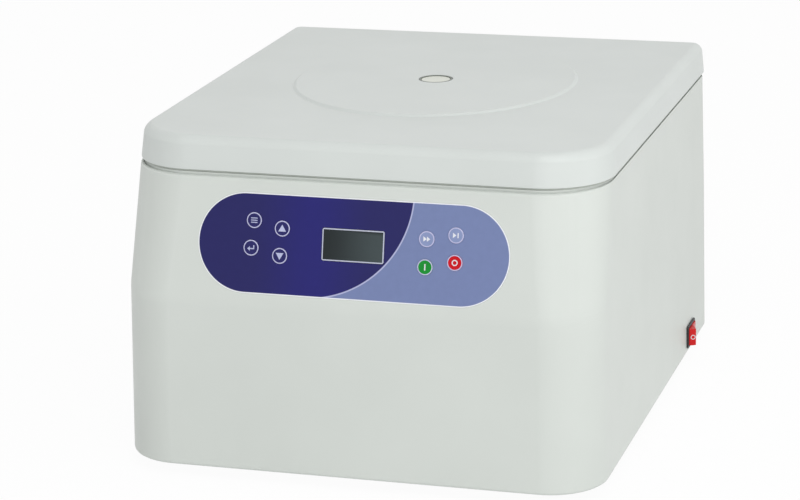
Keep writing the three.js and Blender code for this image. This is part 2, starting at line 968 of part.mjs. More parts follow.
// Motor plate: a round plate with three ears over the dampers
function motorPlate() {
  const disc = bar("z", motor.radius, mount.plate, 0, axisY, plateBottom, sidesHidden);
  const ears = damperAngles.map((angle) => {
    const [x, y] = [mount.circle * Math.cos(angle), mount.circle * Math.sin(angle)];
    return solid(bar("z", mount.lobe, mount.plate, x, axisY + y, plateBottom, sidesFine));
  });
  const bore = bar("z", mount.bore, mount.plate + 2 * overrun, 0, axisY, plateBottom - overrun, sidesHidden);
  return cut(join(solid(disc), ears), solid(bore));
}

// Motor case: a ribbed drum with a nose, bored for the shaft
function motorCase() {
  const height = motorTop - motor.noseHeight - motorBottom;
  const pitch = height / (motor.ribCount + 1);
  const ribs = [];
  for (let i = 1; i <= motor.ribCount; i += 1) {
    const middle = motorBottom + i * pitch;
    const half = (pitch * grooveShare) / 2;
    ribs.push(
      [motor.radius, middle - half],
      [motor.radius - motor.ribDepth, middle - half],
      [motor.radius - motor.ribDepth, middle + half],
      [motor.radius, middle + half],
    );
  }
  const bodyTop = motorBottom + height;
  const bore = rotor.shaftRadius + running;
  const profile = [
    [0, motorBottom],
    [motor.radius, motorBottom],
    ...ribs,
    [motor.radius, bodyTop - motor.shoulder],
    [motor.radius - motor.shoulder, bodyTop],
    [motor.noseRadius, bodyTop],
    [motor.noseRadius, motorTop],
    [bore, motorTop],
    [bore, motorBottom + motor.endThickness],
    [0, motorBottom + motor.endThickness],
  ];
  return solid(turned(profile, sidesHidden).translate(0, axisY, 0));
}

// Printed film with a hole for each key and one for the display
function panelOverlay() {
  const film = solid(panelPlate(stadium(seat), -panel.proud, panel.recess - seat));
  const [front, back] = [-panel.proud - overrun, panel.recess + overrun];
  const holes = keyRows.map((row) =>
    solid(panelBar(key.radius + seat, front, back, ...keyPlace(row), sidesSmall)),
  );
  const window = box(
    panel.windowWidth,
    back - front,
    panel.windowHeight,
    windowAcross,
    (front + back) / 2,
    windowMiddle - panel.windowHeight / 2,
  );
  return cut(film, holes, solid(window));
}

function displayWindow() {
  const [front, back] = [-panel.proud + panel.windowSink, panel.recess - seat];
  return solid(
    box(
      panel.windowWidth - 2 * seat,
      back - front,
      panel.windowHeight - 2 * seat,
      windowAcross,
      (front + back) / 2,
      windowMiddle - panel.windowHeight / 2 + seat,
    ),
  );
}

// Display module behind the window, standing on the panel board
function displayModule() {
  const border = panel.moduleBorder;
  const [front, back] = [panel.recess, panel.boardDepth - seat];
  return solid(
    box(
      panel.windowWidth + 2 * border,
      back - front,
      panel.windowHeight + 2 * border,
      windowAcross,
      (front + back) / 2,
      windowMiddle - panel.windowHeight / 2 - border,
    ),
  );
}

// Panel board with a switch under each key
function panelBoard() {
  const sheet = box(
    boardWidth,
    panel.boardThickness,
    boardHeight,
    panel.centreAcross,
    panel.boardDepth + panel.boardThickness / 2,
    panelMiddle - boardHeight / 2,
  );
  const switches = keyRows.map((row) =>
    solid(
      panelBar(
        key.switchRadius,
        panel.boardDepth - key.switchHeight,
        panel.boardDepth + bite,
        ...keyPlace(row),
        sidesFine,
      ),
    ),
  );
  return join(solid(sheet), switches);
}

// A key: a cap with an eased edge and a stem that ends above its switch
function panelKey(row) {
  const back = panel.recess - key.travel - seat;
  const stemEnd = panel.boardDepth - key.switchHeight - key.travel - seat;
  const profile = [
    [0, -stemEnd],
    [key.stemRadius, -stemEnd],
    [key.stemRadius, -back],
    [key.radius, -back],
    [key.radius, key.proud - key.edge],
    [key.radius - key.edge, key.proud],
    [0, key.proud],
  ];
  const [across, up] = keyPlace(row);
  return solid(turned(profile, sidesSmall).rotateX(right).translate(across, 0, up));
}

// Rocker switch: a bezel with a boxed body behind it, in the frame of the side wall: X out, Y to the back
function switchBezel() {
  const opening = switchOpening(0);
  const rim = roundedRectangle(rocker.bezelHeight, rocker.bezelLength, rocker.bezelRound);
  const flange = plate(rim, rocker.bezelProud).rotateY(right).translate(seat, 0, 0);
  const deep = rocker.bodyDepth + bite + seat;
  const housing = box(opening.height, opening.length, deep, 0, 0, -rocker.bodyDepth).rotateY(right);
  const well = box(
    opening.height - 2 * rocker.bodyWall,
    opening.length - 2 * rocker.bodyWall,
    rocker.bodyDepth + 2 * overrun,
    0,
    0,
    rocker.bodyWall - rocker.bodyDepth,
  ).rotateY(right);
  const stem = rocker.hubRadius / 2;
  const pivot = bar("z", stem - running, opening.height - rocker.bodyWall, pivotOut, 0, 0, sidesFine);
  pivot.translate(0, 0, (rocker.bodyWall - opening.height) / 2);
  return join(cut(join(solid(flange), solid(housing)), solid(well)), solid(pivot));
}

// The rocker: two flats that meet at a shallow bend, round ends about the pivot, and a bored hub
function switchRocker() {
  const opening = switchOpening(0);
  const outline = [
    [0, rockerVertex],
    ...arc(0, 0, rockerRadius, 2 * right - rockerEnd, 2 * right, capSteps),
    ...arc(0, 0, rocker.hubRadius, 2 * right, turn, 2 * capSteps),
    ...arc(0, 0, rockerRadius, 0, rockerEnd, capSteps),
  ].map(([along, out]) => [out, along]);
  const width = opening.height - 2 * rocker.bodyWall - 2 * running;
  const cap = solid(plate(outline, width, -width / 2).rotateZ(rockerBend));
  const bore = bar("z", rocker.hubRadius / 2, width + 2 * overrun, 0, 0, -width / 2 - overrun, sidesFine);
  return cut(cap, solid(bore));
}

// Appliance inlet: a flanged block with a chamfered socket and three blades
function powerInlet() {
  const back = body.depth;
  const z = base + inlet.lift;
  const [w, h, c] = [inlet.cavityWidth / 2, inlet.cavityHeight / 2, inlet.chamfer];
  const flange = box(
    inlet.width + 2 * inlet.flange,
    inlet.flangeThickness,
    inlet.height + 2 * inlet.flange,
    inletAcross,
    back + seat + inlet.flangeThickness / 2,
    z - inlet.height / 2 - inlet.flange,
  );
  const block = box(
    inlet.width,
    inlet.depth + seat + bite,
    inlet.height,
    inletAcross,
    back + seat + bite - (inlet.depth + seat + bite) / 2,
    z - inlet.height / 2,
  );
  const outline = [
    [-w, -h],
    [w, -h],
    [w, h - c],
    [w - c, h],
    [c - w, h],
    [-w, h - c],
  ].map(([x, y]) => [inletAcross + x, z + y]);
  const face = back + seat + inlet.flangeThickness;
  const cavity = plate(outline, inlet.cavityDepth + overrun, -face - overrun).rotateX(right);
  const blades = [-1, 0, 1].map((side) =>
    solid(
      box(
        inlet.bladeWidth,
        inlet.bladeLength + bite,
        inlet.bladeHeight,
        inletAcross + side * inlet.bladePitch,
        face - inlet.cavityDepth - bite + (inlet.bladeLength + bite) / 2,
        z - inlet.bladeHeight / 2 - (side ? inlet.bladeDrop / 2 : -inlet.bladeDrop / 2),
      ),
    ),
  );
  return join(cut(join(solid(flange), solid(block)), solid(cavity)), blades);
}

// Screw-cap fuse holder with a driver slot
function fuseHolder() {
  const z = base + fuse.lift;
  const face = body.depth + seat;
  const depth = fuse.bodyDepth + seat;
  const barrel = bar("y", fuse.bodyRadius, depth + bite, fuseAcross, face - depth, z, sidesSmall);
  const tip = fuse.capRadius - fuse.capTaper;
  const cap = bar("y", fuse.capRadius, fuse.capHeight, fuseAcross, face, z, sidesSmall, tip);
  const slot = solid(
    box(
      2 * fuse.capRadius,
      fuse.slotDepth + overrun,
      fuse.slot,
      fuseAcross,
      face + fuse.capHeight - fuse.slotDepth / 2 + overrun / 2,
      z - fuse.slot / 2,
    ),
  );
  return cut(join(solid(barrel), solid(cap)), slot);
}

// Fan frame behind the grille, with four struts and a hub on its inner side
function fanFrame() {
  const half = fan.size / 2;
  const bore = arc(0, 0, fan.bore, turn, 0, sidesMiddle).slice(1);
  const frame = solid(plate(roundedRectangle(fan.size, fan.size, fan.corner), fan.thickness, 0, [bore]));
  const hub = solid(bar("z", fan.hub, fan.strutDepth, 0, 0, 0, sidesSmall));
  const reach = half + fan.corner;
  const struts = [1, 3, 5, 7].map((eighth) =>
    solid(box(reach, fan.strut, fan.strutDepth, reach / 2, 0, 0).rotateZ((eighth * right) / 2)),
  );
  return join(frame, hub, struts);
}

// Fan impeller: a hub with bowed blades trimmed to one tip circle
function fanImpeller() {
  const low = fan.strutDepth + running;
  const tip = fan.bore - fan.tipGap;
  const hubTop = low + fan.bladeDepth;
  const hub = solid(
    turned(
      [
        [0, low],
        [fan.hub, low],
        [fan.hub, hubTop - fan.hubEdge],
        [fan.hub - fan.hubEdge, hubTop],
        [0, hubTop],
      ],
      sidesSmall,
    ),
  );
  const chord = fan.bladeDepth / Math.sin(fan.bladePitch * degree) - 2 * fan.bladeThickness;
  const bow = (share) => fan.bladeBow * (1 - share ** 2);
  const shares = [-1, 0, 1];
  const section = [
    ...shares.map((share) => [(share * chord) / 2, bow(share) - fan.bladeThickness / 2]),
    ...shares.toReversed().map((share) => [(share * chord) / 2, bow(share) + fan.bladeThickness / 2]),
  ];
  const bladeRoot = fan.hub - bite;
  const blades = Array.from({ length: fan.blades }, (_, i) => {
    const blade = plate(section, tip - bladeRoot + overrun, bladeRoot);
    blade.rotateZ(fan.bladePitch * degree).rotateY(right).rotateX(right);
    return solid(blade.translate(0, 0, low + fan.bladeDepth / 2).rotateZ((turn * i) / fan.blades));
  });
  const sweep = solid(bar("z", tip, fan.bladeDepth, 0, 0, low, sidesMiddle));
  return join(hub, join(blades).intersect(sweep));
}

// Lid shell: a hollow cover with rounded top edges, a raised disc and bosses for the liner
function lidShell() {
  const outer = [
    { z: lidBottom, outline: lidOutline(lid.lowerRound) },
    { z: lidBottom + lid.lowerRound, outline: lidOutline(0) },
  ];
  for (let i = 0; i <= lidRoundSteps; i += 1) {
    const angle = (right * i) / lidRoundSteps;
    const z = lidTop - lid.topRound * (1 - Math.sin(angle));
    outer.push({ z, outline: lidOutline(lid.topRound * (1 - Math.cos(angle))) });
  }
  const ceiling = lidTop - lid.wall;
  const hollow = [
    { z: lidBottom - overrun, outline: lidOutline(lid.wall) },
    { z: ceiling - lid.topRound / 2, outline: lidOutline(lid.wall) },
    { z: ceiling, outline: lidOutline(lid.wall + lid.topRound / 2) },
  ];
  const crown = lidTop + lid.discRise;
  const rim = arc(lid.discRadius - lid.discRound, crown - lid.discRound, lid.discRound, 0, right, capSteps);
  const disc = turned(
    [
      [0, lidTop - bite],
      [lid.discRadius, lidTop - bite],
      ...rim,
      [0, crown],
    ],
    sidesLarge,
  );
  const bosses = bossPlaces().map(([x, y]) =>
    solid(bar("z", lid.bossRadius, ceiling + bite - linerTop - seat, x, y, linerTop + seat, sidesFine)),
  );
  const tubeRadius = porthole.radius + porthole.sleeveWall;
  const rimRadius = tubeRadius + porthole.rimWidth + seat;
  const boreLow = lidTop - lid.height / 2;
  const bore = bar("z", tubeRadius + seat, lid.height + overrun, 0, axisY, boreLow, sidesMiddle);
  const counterbore = bar(
    "z",
    rimRadius,
    porthole.rimThickness + seat + overrun,
    0,
    axisY,
    crown - porthole.rimThickness - seat,
    sidesMiddle,
  );
  const skin = cut(solid(loft(outer)), solid(loft(hollow)));
  return cut(join(skin, solid(disc.translate(0, axisY, 0)), bosses), solid(bore), solid(counterbore));
}

function bossPlaces() {
  const across = lidHalf - lid.bossInset;
  const middle = (lid.front + body.depth) / 2;
  const rows = [lid.front + lid.bossInset, middle, body.depth - lid.bossInset];
  return [-across, across].flatMap((x) => rows.map((y) => [x, y]));
}

// Lid liner: the pan that closes the lid's underside, with a low ring outside the seal
function lidLiner() {
  const inset = lid.wall + seat;
  const sheet = loft([
    { z: linerBottom, outline: lidOutline(inset) },
    { z: linerTop, outline: lidOutline(inset) },
  ]);
  const ring = turned(
    [
      [ringRadius, linerBottom - liner.ringDrop],
      [ringRadius + liner.ringWidth, linerBottom - liner.ringDrop],
      [ringRadius + liner.ringWidth, linerBottom + bite],
      [ringRadius, linerBottom + bite],
      [ringRadius, linerBottom - liner.ringDrop],
    ],
    sidesLarge,
  );
  const hole = bar(
    "z",
    porthole.radius - porthole.step,
    liner.thickness + 2 * overrun,
    0,
    axisY,
    linerBottom - overrun,
    sidesMiddle,
  );
  return cut(join(solid(sheet), solid(ring.translate(0, axisY, 0))), solid(hole));
}

// Sleeve through the lid: a rim on top, a step for the lens, and a tube down to the liner
function windowSleeve() {
  const crown = lidTop + lid.discRise;
  const outer = porthole.radius + porthole.sleeveWall;
  const inner = porthole.radius + seat;
  const bore = porthole.radius - porthole.step;
  const shelf = crown - porthole.lensSink - porthole.lensThickness - seat;
  return solid(
    turned(
      [
        [inner, crown],
        [inner, shelf],
        [bore, shelf],
        [bore, linerTop + seat],
        [outer, linerTop + seat],
        [outer, crown - porthole.rimThickness],
        [outer + porthole.rimWidth, crown - porthole.rimThickness],
        [outer + porthole.rimWidth, crown],
        [inner, crown],
      ],
      sidesMiddle,
    ).translate(0, axisY, 0),
  );
}

function lidWindow() {
  const top = lidTop + lid.discRise - porthole.lensSink;
  const low = top - porthole.lensThickness;
  return solid(bar("z", porthole.radius, porthole.lensThickness, 0, axisY, low, sidesMiddle));
}

// Striker: a foot under the liner and a blade with a window for the bolt
function lidStriker() {
  const top = linerBottom - seat;
  const pad = box(lock.footWidth, lock.footDepth, lock.footThickness, 0, lockY, top - lock.footThickness);
  const blade = box(lock.strikerThickness, lock.strikerDepth, top - strikerEnd, 0, lockY, strikerEnd);
  const window = box(
    lock.strikerThickness + 2 * overrun,
    lock.windowDepth,
    lock.windowHeight,
    0,
    lockY,
    boltZ - lock.windowHeight / 2,
  );
  return cut(join(solid(pad), solid(blade)), solid(window));
}

// Lock bracket: a top plate under the deck, two cheeks either side of the striker and an arm for the coil
function lockBracket() {
  const top = deckUnder - seat;
  const inner = cheekInside;
  const armTop = boltZ - lock.coilHeight / 2 - seat;
  const low = armTop - lock.cheek;
  const long = lock.arm + inner + lock.cheek;
  const roof = box(2 * (inner + lock.cheek), lock.plateDepth, lock.cheek, 0, lockY, top - lock.cheek);
  const cheeks = [-1, 1].map((side) =>
    solid(box(lock.cheek, lock.plateDepth, top - low, side * (inner + lock.cheek / 2), lockY, low)),
  );
  const armLength = lock.arm + lock.cheek;
  const arm = box(armLength, lock.plateDepth, lock.cheek, -inner - armLength / 2, lockY, low);
  const slot = box(
    lock.strikerThickness + 2 * lock.slotSlack,
    lock.strikerDepth + 2 * lock.slotSlack,
    lock.cheek + 2 * overrun,
    0,
    lockY,
    top - lock.cheek - overrun,
  );
  const bore = bar("x", lock.bolt + running, long, -inner - 2 * lock.cheek, lockY, boltZ, sidesSmall);
  return cut(join(solid(roof), cheeks, solid(arm)), solid(slot), solid(bore));
}

function lockSolenoid() {
  const coil = box(
    lock.coilLength,
    lock.coilDepth,
    lock.coilHeight,
    coilEnd - lock.coilLength / 2,
    lockY,
    boltZ - lock.coilHeight / 2,
  );
  const boreFrom = coilEnd - lock.coilLength + lock.cheek;
  const bore = bar("x", lock.bolt + running, lock.coilLength + 2 * overrun, boreFrom, lockY, boltZ);
  return cut(solid(coil), solid(bore));
}

// Lock bolt: a round bar with a tapered nose, drawn back clear of the striker
function lockBolt() {
  const tip = -lock.strikerThickness / 2 - lock.boltInset;
  const tail = coilEnd - lock.coilLength + lock.cheek + seat;
  const neck = tip - lock.bolt / 2;
  const shank = bar("x", lock.bolt, neck - tail, tail, lockY, boltZ);
  const nose = bar("x", lock.bolt, lock.bolt / 2, neck, lockY, boltZ, sidesSmall, lock.bolt / 2);
  return join(solid(shank), solid(nose));
}

function lidSwitch() {
  const x = cheekInside + lock.cheek + seat + lock.switchWidth / 2;
  const z = boltZ + lock.bolt + 2 * running;
  return solid(box(lock.switchWidth, lock.switchDepth, lock.switchHeight, x, lockY, z));
}

// Butt hinge behind the back wall: the body's leaf has the outer knuckles and the lid's leaf the middle one
function hingeParts(side) {
  const left = side * hingeAcross - hinge.width / 2;
  const third = hinge.width / 3;
  const face = body.depth + seat;
  const clear = hinge.knuckle + hinge.slack;
  const round = (radius, from, length) =>
    solid(bar("x", radius, length, from, hingeY, hingeZ, sidesHinge));
  const tab = (from, width, low, height) =>
    solid(box(width, hinge.leaf, height, from + width / 2, face + hinge.leaf / 2, low));
  const tabWidth = third - running;
  const bodyLeaf = join(
    tab(left, hinge.width, hingeZ - hinge.bodyLeaf, hinge.bodyLeaf - clear),
    tab(left, tabWidth, hingeZ - clear - bite, clear + bite),
    tab(left + hinge.width - tabWidth, tabWidth, hingeZ - clear - bite, clear + bite),
    round(hinge.knuckle, left, tabWidth),
    round(hinge.knuckle, left + hinge.width - tabWidth, tabWidth),
  );
  const lidLeaf = join(
    tab(left, hinge.width, hingeZ + clear, hinge.lidLeaf - clear),
    tab(left + third, third, hingeZ, clear + bite),
    round(hinge.knuckle, left + third, third),
  );
  const pin = join(
    round(hinge.pin, left - seat - bite / 2, hinge.width + 2 * seat + bite),
    round(hinge.pinHead, left - seat - hinge.headHeight, hinge.headHeight),
    round(hinge.pinHead, left + hinge.width + seat, hinge.headHeight),
  );
  const bore = round(hinge.pin + seat, left - overrun, hinge.width + 2 * overrun);
  return { bodyLeaf: cut(bodyLeaf, bore), lidLeaf: cut(lidLeaf, bore), pin };
}

// Drive shaft from the motor up through the rotor, with a shoulder under the hub and a threaded end
function driveShaft() {
  const shoulder = trunnionZ - rotor.hubDrop - seat;
  const hubTop = trunnionZ + rotor.hubRise;
  return solid(
    turned(
      [
        [0, motorBottom + motor.endThickness + seat],
        [rotor.shaftRadius, motorBottom + motor.endThickness + seat],
        [rotor.shaftRadius, shoulder - rotor.shaftRadius],
        [rotor.shaftRadius + 2 * rotor.edge, shoulder - rotor.shaftRadius / 2],
        [rotor.shaftRadius + 2 * rotor.edge, shoulder],
        [rotor.shaftRadius, shoulder],
        [rotor.shaftRadius, hubTop],
        [rotor.threadRadius, hubTop],
        [rotor.threadRadius, hubTop + rotor.nutHeight - rotor.nutRound],
        [0, hubTop + rotor.nutHeight - rotor.nutRound],
      ],
      sidesSmall,
    ),
  );
}

// Rotor head: a round plate with four notches, grooves for the buckets' pins, a tall hub and arm holes
function rotorHead() {
  const half = bucket.collarRadius + rotor.notchSlack;
  const low = trunnionZ + rotor.aboveTrunnion - rotor.thickness;
  const disc = solid(
    turned(
      [
        [0, low],
        [rotor.radius - rotor.edge, low],
        [rotor.radius, low + rotor.edge],
        [rotor.radius, low + rotor.thickness - rotor.edge],
        [rotor.radius - rotor.edge, low + rotor.thickness],
        [0, low + rotor.thickness],
      ],
      sidesLarge,
    ),
  );
  const hubHeight = rotor.hubDrop + rotor.hubRise;
  const hub = solid(bar("z", rotor.hubRadius, hubHeight, 0, 0, trunnionZ - rotor.hubDrop, sidesMiddle));
  const far = rotor.radius + overrun;
  const inner = rotor.notchEnd + rotor.notchRound;
  const notch = [
    [far, -half],
    [far, half],
    ...arc(inner, half - rotor.notchRound, rotor.notchRound, right, 2 * right, capSteps),
    ...arc(inner, rotor.notchRound - half, rotor.notchRound, 2 * right, 3 * right, capSteps),
  ];
  const grip = half + bucket.pinGrip + bucket.pinSlack;
  const groove = bucket.pinRadius + running;
  const tools = [0, 1, 2, 3].flatMap((quarter) => {
    const angle = quarter * right;
    const opening = plate(notch, rotor.thickness + 2 * overrun, low - overrun).rotateZ(angle);
    const pin = bar("y", groove, 2 * grip, bucket.trunnionRadius, -grip, trunnionZ, sidesFine);
    const channel = pin.rotateZ(angle);
    const open = rotor.aboveTrunnion + overrun;
    const mouth = box(2 * groove, 2 * grip, open, bucket.trunnionRadius, 0, trunnionZ).rotateZ(angle);
    const reach = rotor.thickness + 2 * overrun;
    const hole = bar("z", rotor.holeRadius, reach, bucket.trunnionRadius, 0, low - overrun, sidesFine);
    return [opening, channel, mouth, hole.rotateZ(angle + right / 2)].map(solid);
  });
  const bore = solid(
    bar(
      "z",
      rotor.shaftRadius + seat,
      hubHeight + 2 * overrun,
      0,
      0,
      trunnionZ - rotor.hubDrop - overrun,
      sidesSmall,
    ),
  );
  return cut(join(disc, hub), tools, bore);
}

// Domed nut that holds the rotor down
function rotorNut() {
  const low = trunnionZ + rotor.hubRise + seat;
  const high = low + rotor.nutHeight;
  const shoulder = high - rotor.nutRound;
  const inner = rotor.threadRadius + seat;
  return solid(
    turned(
      [
        [inner, low],
        [rotor.nutRadius, low],
        [rotor.nutRadius, shoulder],
        ...arc(rotor.nutRadius - rotor.nutRound, shoulder, rotor.nutRound, 0, right, capSteps).slice(1),
        [0, high],
        [0, shoulder + 2 * seat],
        [inner, shoulder + 2 * seat],
        [inner, low],
      ],
      sidesSmall,
    ),
  );
}

// Bucket: a round-bottomed cup with a collar and two trunnion pins, about its own pin line
function rotorBucket() {
  const inner = bucket.radius - bucket.wall;
  const low = -bucketReach;
  const round = bucket.bottomRound;
  const half = bucket.collarHeight / 2;
  const cup = turned(
    [
      [0, low],
      ...arc(bucket.radius - round, low + round, round, -right, 0, capSteps),
      [bucket.radius, -half - bucket.wall],
      [bucket.collarRadius, -half],
      [bucket.collarRadius, half],
      [bucket.lipRadius, bucket.mouthRise],
      [inner, bucket.mouthRise],
      ...arc(inner - round + bucket.wall, low + round, round - bucket.wall, 0, -right, capSteps),
      [0, low + bucket.wall],
    ],
    bucketSides,
  );
  const reach = bucket.collarRadius + rotor.notchSlack + bucket.pinGrip;
  const pins = [-1, 1].map((side) => {
    const from = side > 0 ? inner + bite : -reach;
    return solid(bar("y", bucket.pinRadius, reach - inner - bite, 0, from, 0, sidesFine));
  });
  return join(solid(cup), pins);
}

// Main board on the tray's standoffs, with capacitors and a relay
function mainBoard() {
  const z = trayTop + tray.standoffRise + seat;
  const middle = board.front + board.depth / 2;
  const sheet = solid(box(board.width, board.depth, board.thickness, boardAcross, middle, z));
  const top = z + board.thickness - bite;
  const caps = Array.from({ length: board.capCount }, (_, i) => {
    const x = boardAcross + (i - (board.capCount - 1) / 2) * board.capPitch;
    const y = middle + board.capRadius;
    return solid(bar("z", board.capRadius, board.capHeight + bite, x, y, top, sidesFine));
  });
  const relay = box(
    board.relayWidth,
    board.relayDepth,
    board.relayHeight + bite,
    boardAcross,
    board.front + board.relayDepth,
    top,
  );
  return join(sheet, caps, solid(relay));
}

// Mains transformer: a laminated core round a wound coil
function mainsTransformer() {
  const z = trayTop + seat;
  const middle = transformer.front + transformer.coilDepth / 2;
  const core = box(transformer.width, transformer.depth, transformer.height, transformerAcross, middle, z);
  const lift = (transformer.height - transformer.coilHeight) / 2;
  const round = roundedRectangle(transformer.coilWidth, transformer.coilDepth, transformer.coilRound);
  const coil = plate(round, transformer.coilHeight).translate(transformerAcross, middle, z + lift);
  return join(solid(core), solid(coil));
}

// The fixed housing and what it holds
place(whole, "housing_shell", housingShell(), "housing");
place(whole, "base_tray", baseTray(), "sheet");
place(whole, "rear_panel", rearPanel(), "blackPlastic");
place(whole, "chamber_bowl", chamberBowl(), "steel");
place(whole, "bowl_seal", bowlSeal(), "rubber");
place(whole, "shaft_boot", shaftBoot(), "rubber");
place(whole, "motor_plate", motorPlate(), "sheet");
place(whole, "motor_case", motorCase(), "castIron");
place(whole, "main_board", mainBoard(), "circuit");
place(whole, "transformer", mainsTransformer(), "copper");
place(whole, "power_inlet", powerInlet(), "blackPlastic");
place(whole, "fuse_holder", fuseHolder(), "blackPlastic");
place(whole, "lock_bracket", lockBracket(), "sheet");
place(whole, "lock_solenoid", lockSolenoid(), "castIron");
place(whole, "lock_bolt", lockBolt(), "steel");
place(whole, "lid_switch", lidSwitch(), "blackPlastic");

const footNames = ["foot_front_left", "foot_front_right", "foot_rear_left", "foot_rear_right"];
cornerPlaces(foot.inset).forEach(([x, y], i) => {
  place(whole, footNames[i], footPad(), "rubber").position.set(x, y, 0);
});

damperAngles.forEach((angle, i) => {
  const damper = place(whole, `motor_damper_${i + 1}`, motorDamper(), "rubber");
  damper.position.set(mount.circle * Math.cos(angle), axisY + mount.circle * Math.sin(angle), 0);
});

// The sloped panel
const slopeGroup = new THREE.Group();
slopeGroup.applyMatrix4(panelPlace);
whole.add(slopeGroup);
place(slopeGroup, "panel_overlay", panelOverlay(), "overlay");
place(slopeGroup, "display_window", displayWindow(), "glass");
place(slopeGroup, "display_module", displayModule(), "blackPlastic");
place(slopeGroup, "panel_board", panelBoard(), "circuit");
keyRows.forEach((row) => place(slopeGroup, row.name, panelKey(row), row.finish));

// The rocker switch on the right-hand side
const switchGroup = new THREE.Group();
switchGroup.position.set(body.width / 2, body.depth - rocker.toBack, base + rocker.height);
whole.add(switchGroup);
place(switchGroup, "switch_bezel", switchBezel(), "blackPlastic");
place(switchGroup, "switch_rocker", switchRocker(), "redPlastic").position.x = pivotOut;

// The fan behind the rear panel
const fanGroup = new THREE.Group();
fanGroup.position.set(fanAcross, rearFace - seat - fan.thickness, base + fan.lift);
fanGroup.rotation.x = -right;
whole.add(fanGroup);
place(fanGroup, "fan_frame", fanFrame(), "blackPlastic");
place(fanGroup, "fan_impeller", fanImpeller(), "blackPlastic");

// The lid and its hinges
place(whole, "lid_shell", lidShell(), "lid");
place(whole, "lid_liner", lidLiner(), "lid");
place(whole, "window_sleeve", windowSleeve(), "rim");
place(whole, "lid_window", lidWindow(), "lens");
place(whole, "lid_striker", lidStriker(), "steel");
[
  ["left", -1],
  ["right", 1],
].forEach(([name, side]) => {
  const parts = hingeParts(side);
  place(whole, `hinge_leaf_body_${name}`, parts.bodyLeaf, "steel");
  place(whole, `hinge_leaf_lid_${name}`, parts.lidLeaf, "steel");
  place(whole, `hinge_pin_${name}`, parts.pin, "steel");
});

// The rotor and its buckets
const rotorGroup = new THREE.Group();
rotorGroup.position.y = axisY;
whole.add(rotorGroup);
place(rotorGroup, "drive_shaft", driveShaft(), "steel");
place(rotorGroup, "rotor_head", rotorHead(), "aluminium");
place(rotorGroup, "rotor_nut", rotorNut(), "aluminium");
[0, 1, 2, 3].forEach((quarter) => {
  const arm = new THREE.Group();
  arm.rotation.z = quarter * right;
  rotorGroup.add(arm);
  const cup = place(arm, `bucket_${quarter + 1}`, rotorBucket(), "steel");
  cup.position.set(bucket.trunnionRadius, 0, trunnionZ);
});

export default root;
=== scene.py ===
import json
import math

import bmesh
import bpy
from mathutils import Matrix, Vector

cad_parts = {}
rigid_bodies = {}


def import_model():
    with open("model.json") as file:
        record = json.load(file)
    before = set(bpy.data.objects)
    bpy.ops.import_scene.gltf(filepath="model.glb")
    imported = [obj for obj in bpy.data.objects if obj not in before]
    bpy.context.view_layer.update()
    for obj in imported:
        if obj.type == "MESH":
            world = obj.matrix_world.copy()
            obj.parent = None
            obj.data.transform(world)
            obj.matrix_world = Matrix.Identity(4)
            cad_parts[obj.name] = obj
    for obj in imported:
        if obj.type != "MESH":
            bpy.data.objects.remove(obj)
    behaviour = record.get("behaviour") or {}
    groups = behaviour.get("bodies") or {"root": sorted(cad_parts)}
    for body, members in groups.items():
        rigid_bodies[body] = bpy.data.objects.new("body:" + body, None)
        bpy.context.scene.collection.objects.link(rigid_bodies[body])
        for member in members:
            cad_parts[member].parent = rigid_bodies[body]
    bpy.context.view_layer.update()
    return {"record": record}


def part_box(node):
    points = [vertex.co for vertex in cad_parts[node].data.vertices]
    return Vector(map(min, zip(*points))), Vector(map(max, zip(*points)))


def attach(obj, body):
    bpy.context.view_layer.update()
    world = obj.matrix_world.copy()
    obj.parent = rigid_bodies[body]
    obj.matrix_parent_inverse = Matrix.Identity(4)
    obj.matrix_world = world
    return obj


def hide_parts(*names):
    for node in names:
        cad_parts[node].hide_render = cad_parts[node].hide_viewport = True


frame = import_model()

print("frame loaded")

# Pieces are modelled in millimetres: X from the middle, Y from the front's crease, Z from the ground
machine = {
    "width": 380,
    "depth": 440,
    "ground": 9.5,        # the feet hold the housing this high
    "creaseHeight": 143,
    "ledgeHeight": 232.7,
    "slopeBack": 20.4,
    "axisToBack": 191,    # the rotor's axis from the back wall
}
millimetre = 0.001
rightAngle = math.pi / 2
hair = 0.01    # places that are this close count as one
past = 2       # how far a cutter reaches beyond what it cuts
farPast = 3    # the same for cutters that come from outside the panel and the rear wall


# Modelling helpers

def move(x, y, z):
    return Matrix.Translation((x, y, z))


def rotate(angle, axis):
    return Matrix.Rotation(angle, 4, axis)


def clearSelection():
    if bpy.context.object and bpy.context.object.mode != "OBJECT":
        bpy.ops.object.mode_set(mode="OBJECT")
    bpy.ops.object.select_all(action="DESELECT")


def pick(piece):
    clearSelection()
    piece.select_set(True)
    bpy.context.view_layer.objects.active = piece


def choose(kind, test):
    # selects vertices, edges or faces in edit mode by their place, normal or present selection
    bpy.ops.mesh.select_mode(type=kind)
    mesh = bpy.context.object.data
    work = bmesh.from_edit_mesh(mesh)
    items = {"VERT": work.verts, "EDGE": work.edges, "FACE": work.faces}[kind]
    picked = [item for item in items if test(item)]
    for item in (*work.faces, *work.edges, *work.verts):
        item.select_set(False)
    for item in picked:
        item.select_set(True)
    work.select_flush_mode()
    bmesh.update_edit_mesh(mesh)


def atHeight(height):
    return lambda item: all(abs(v.co.z - height) < hair for v in getattr(item, "verts", [item]))


def pushUp(rise):
    bpy.ops.mesh.extrude_region_move(TRANSFORM_OT_translate={"value": (0, 0, rise)})


def riseTo(height):
    work = bmesh.from_edit_mesh(bpy.context.object.data)
    pushUp(height - max(v.co.z for v in work.verts if v.select))


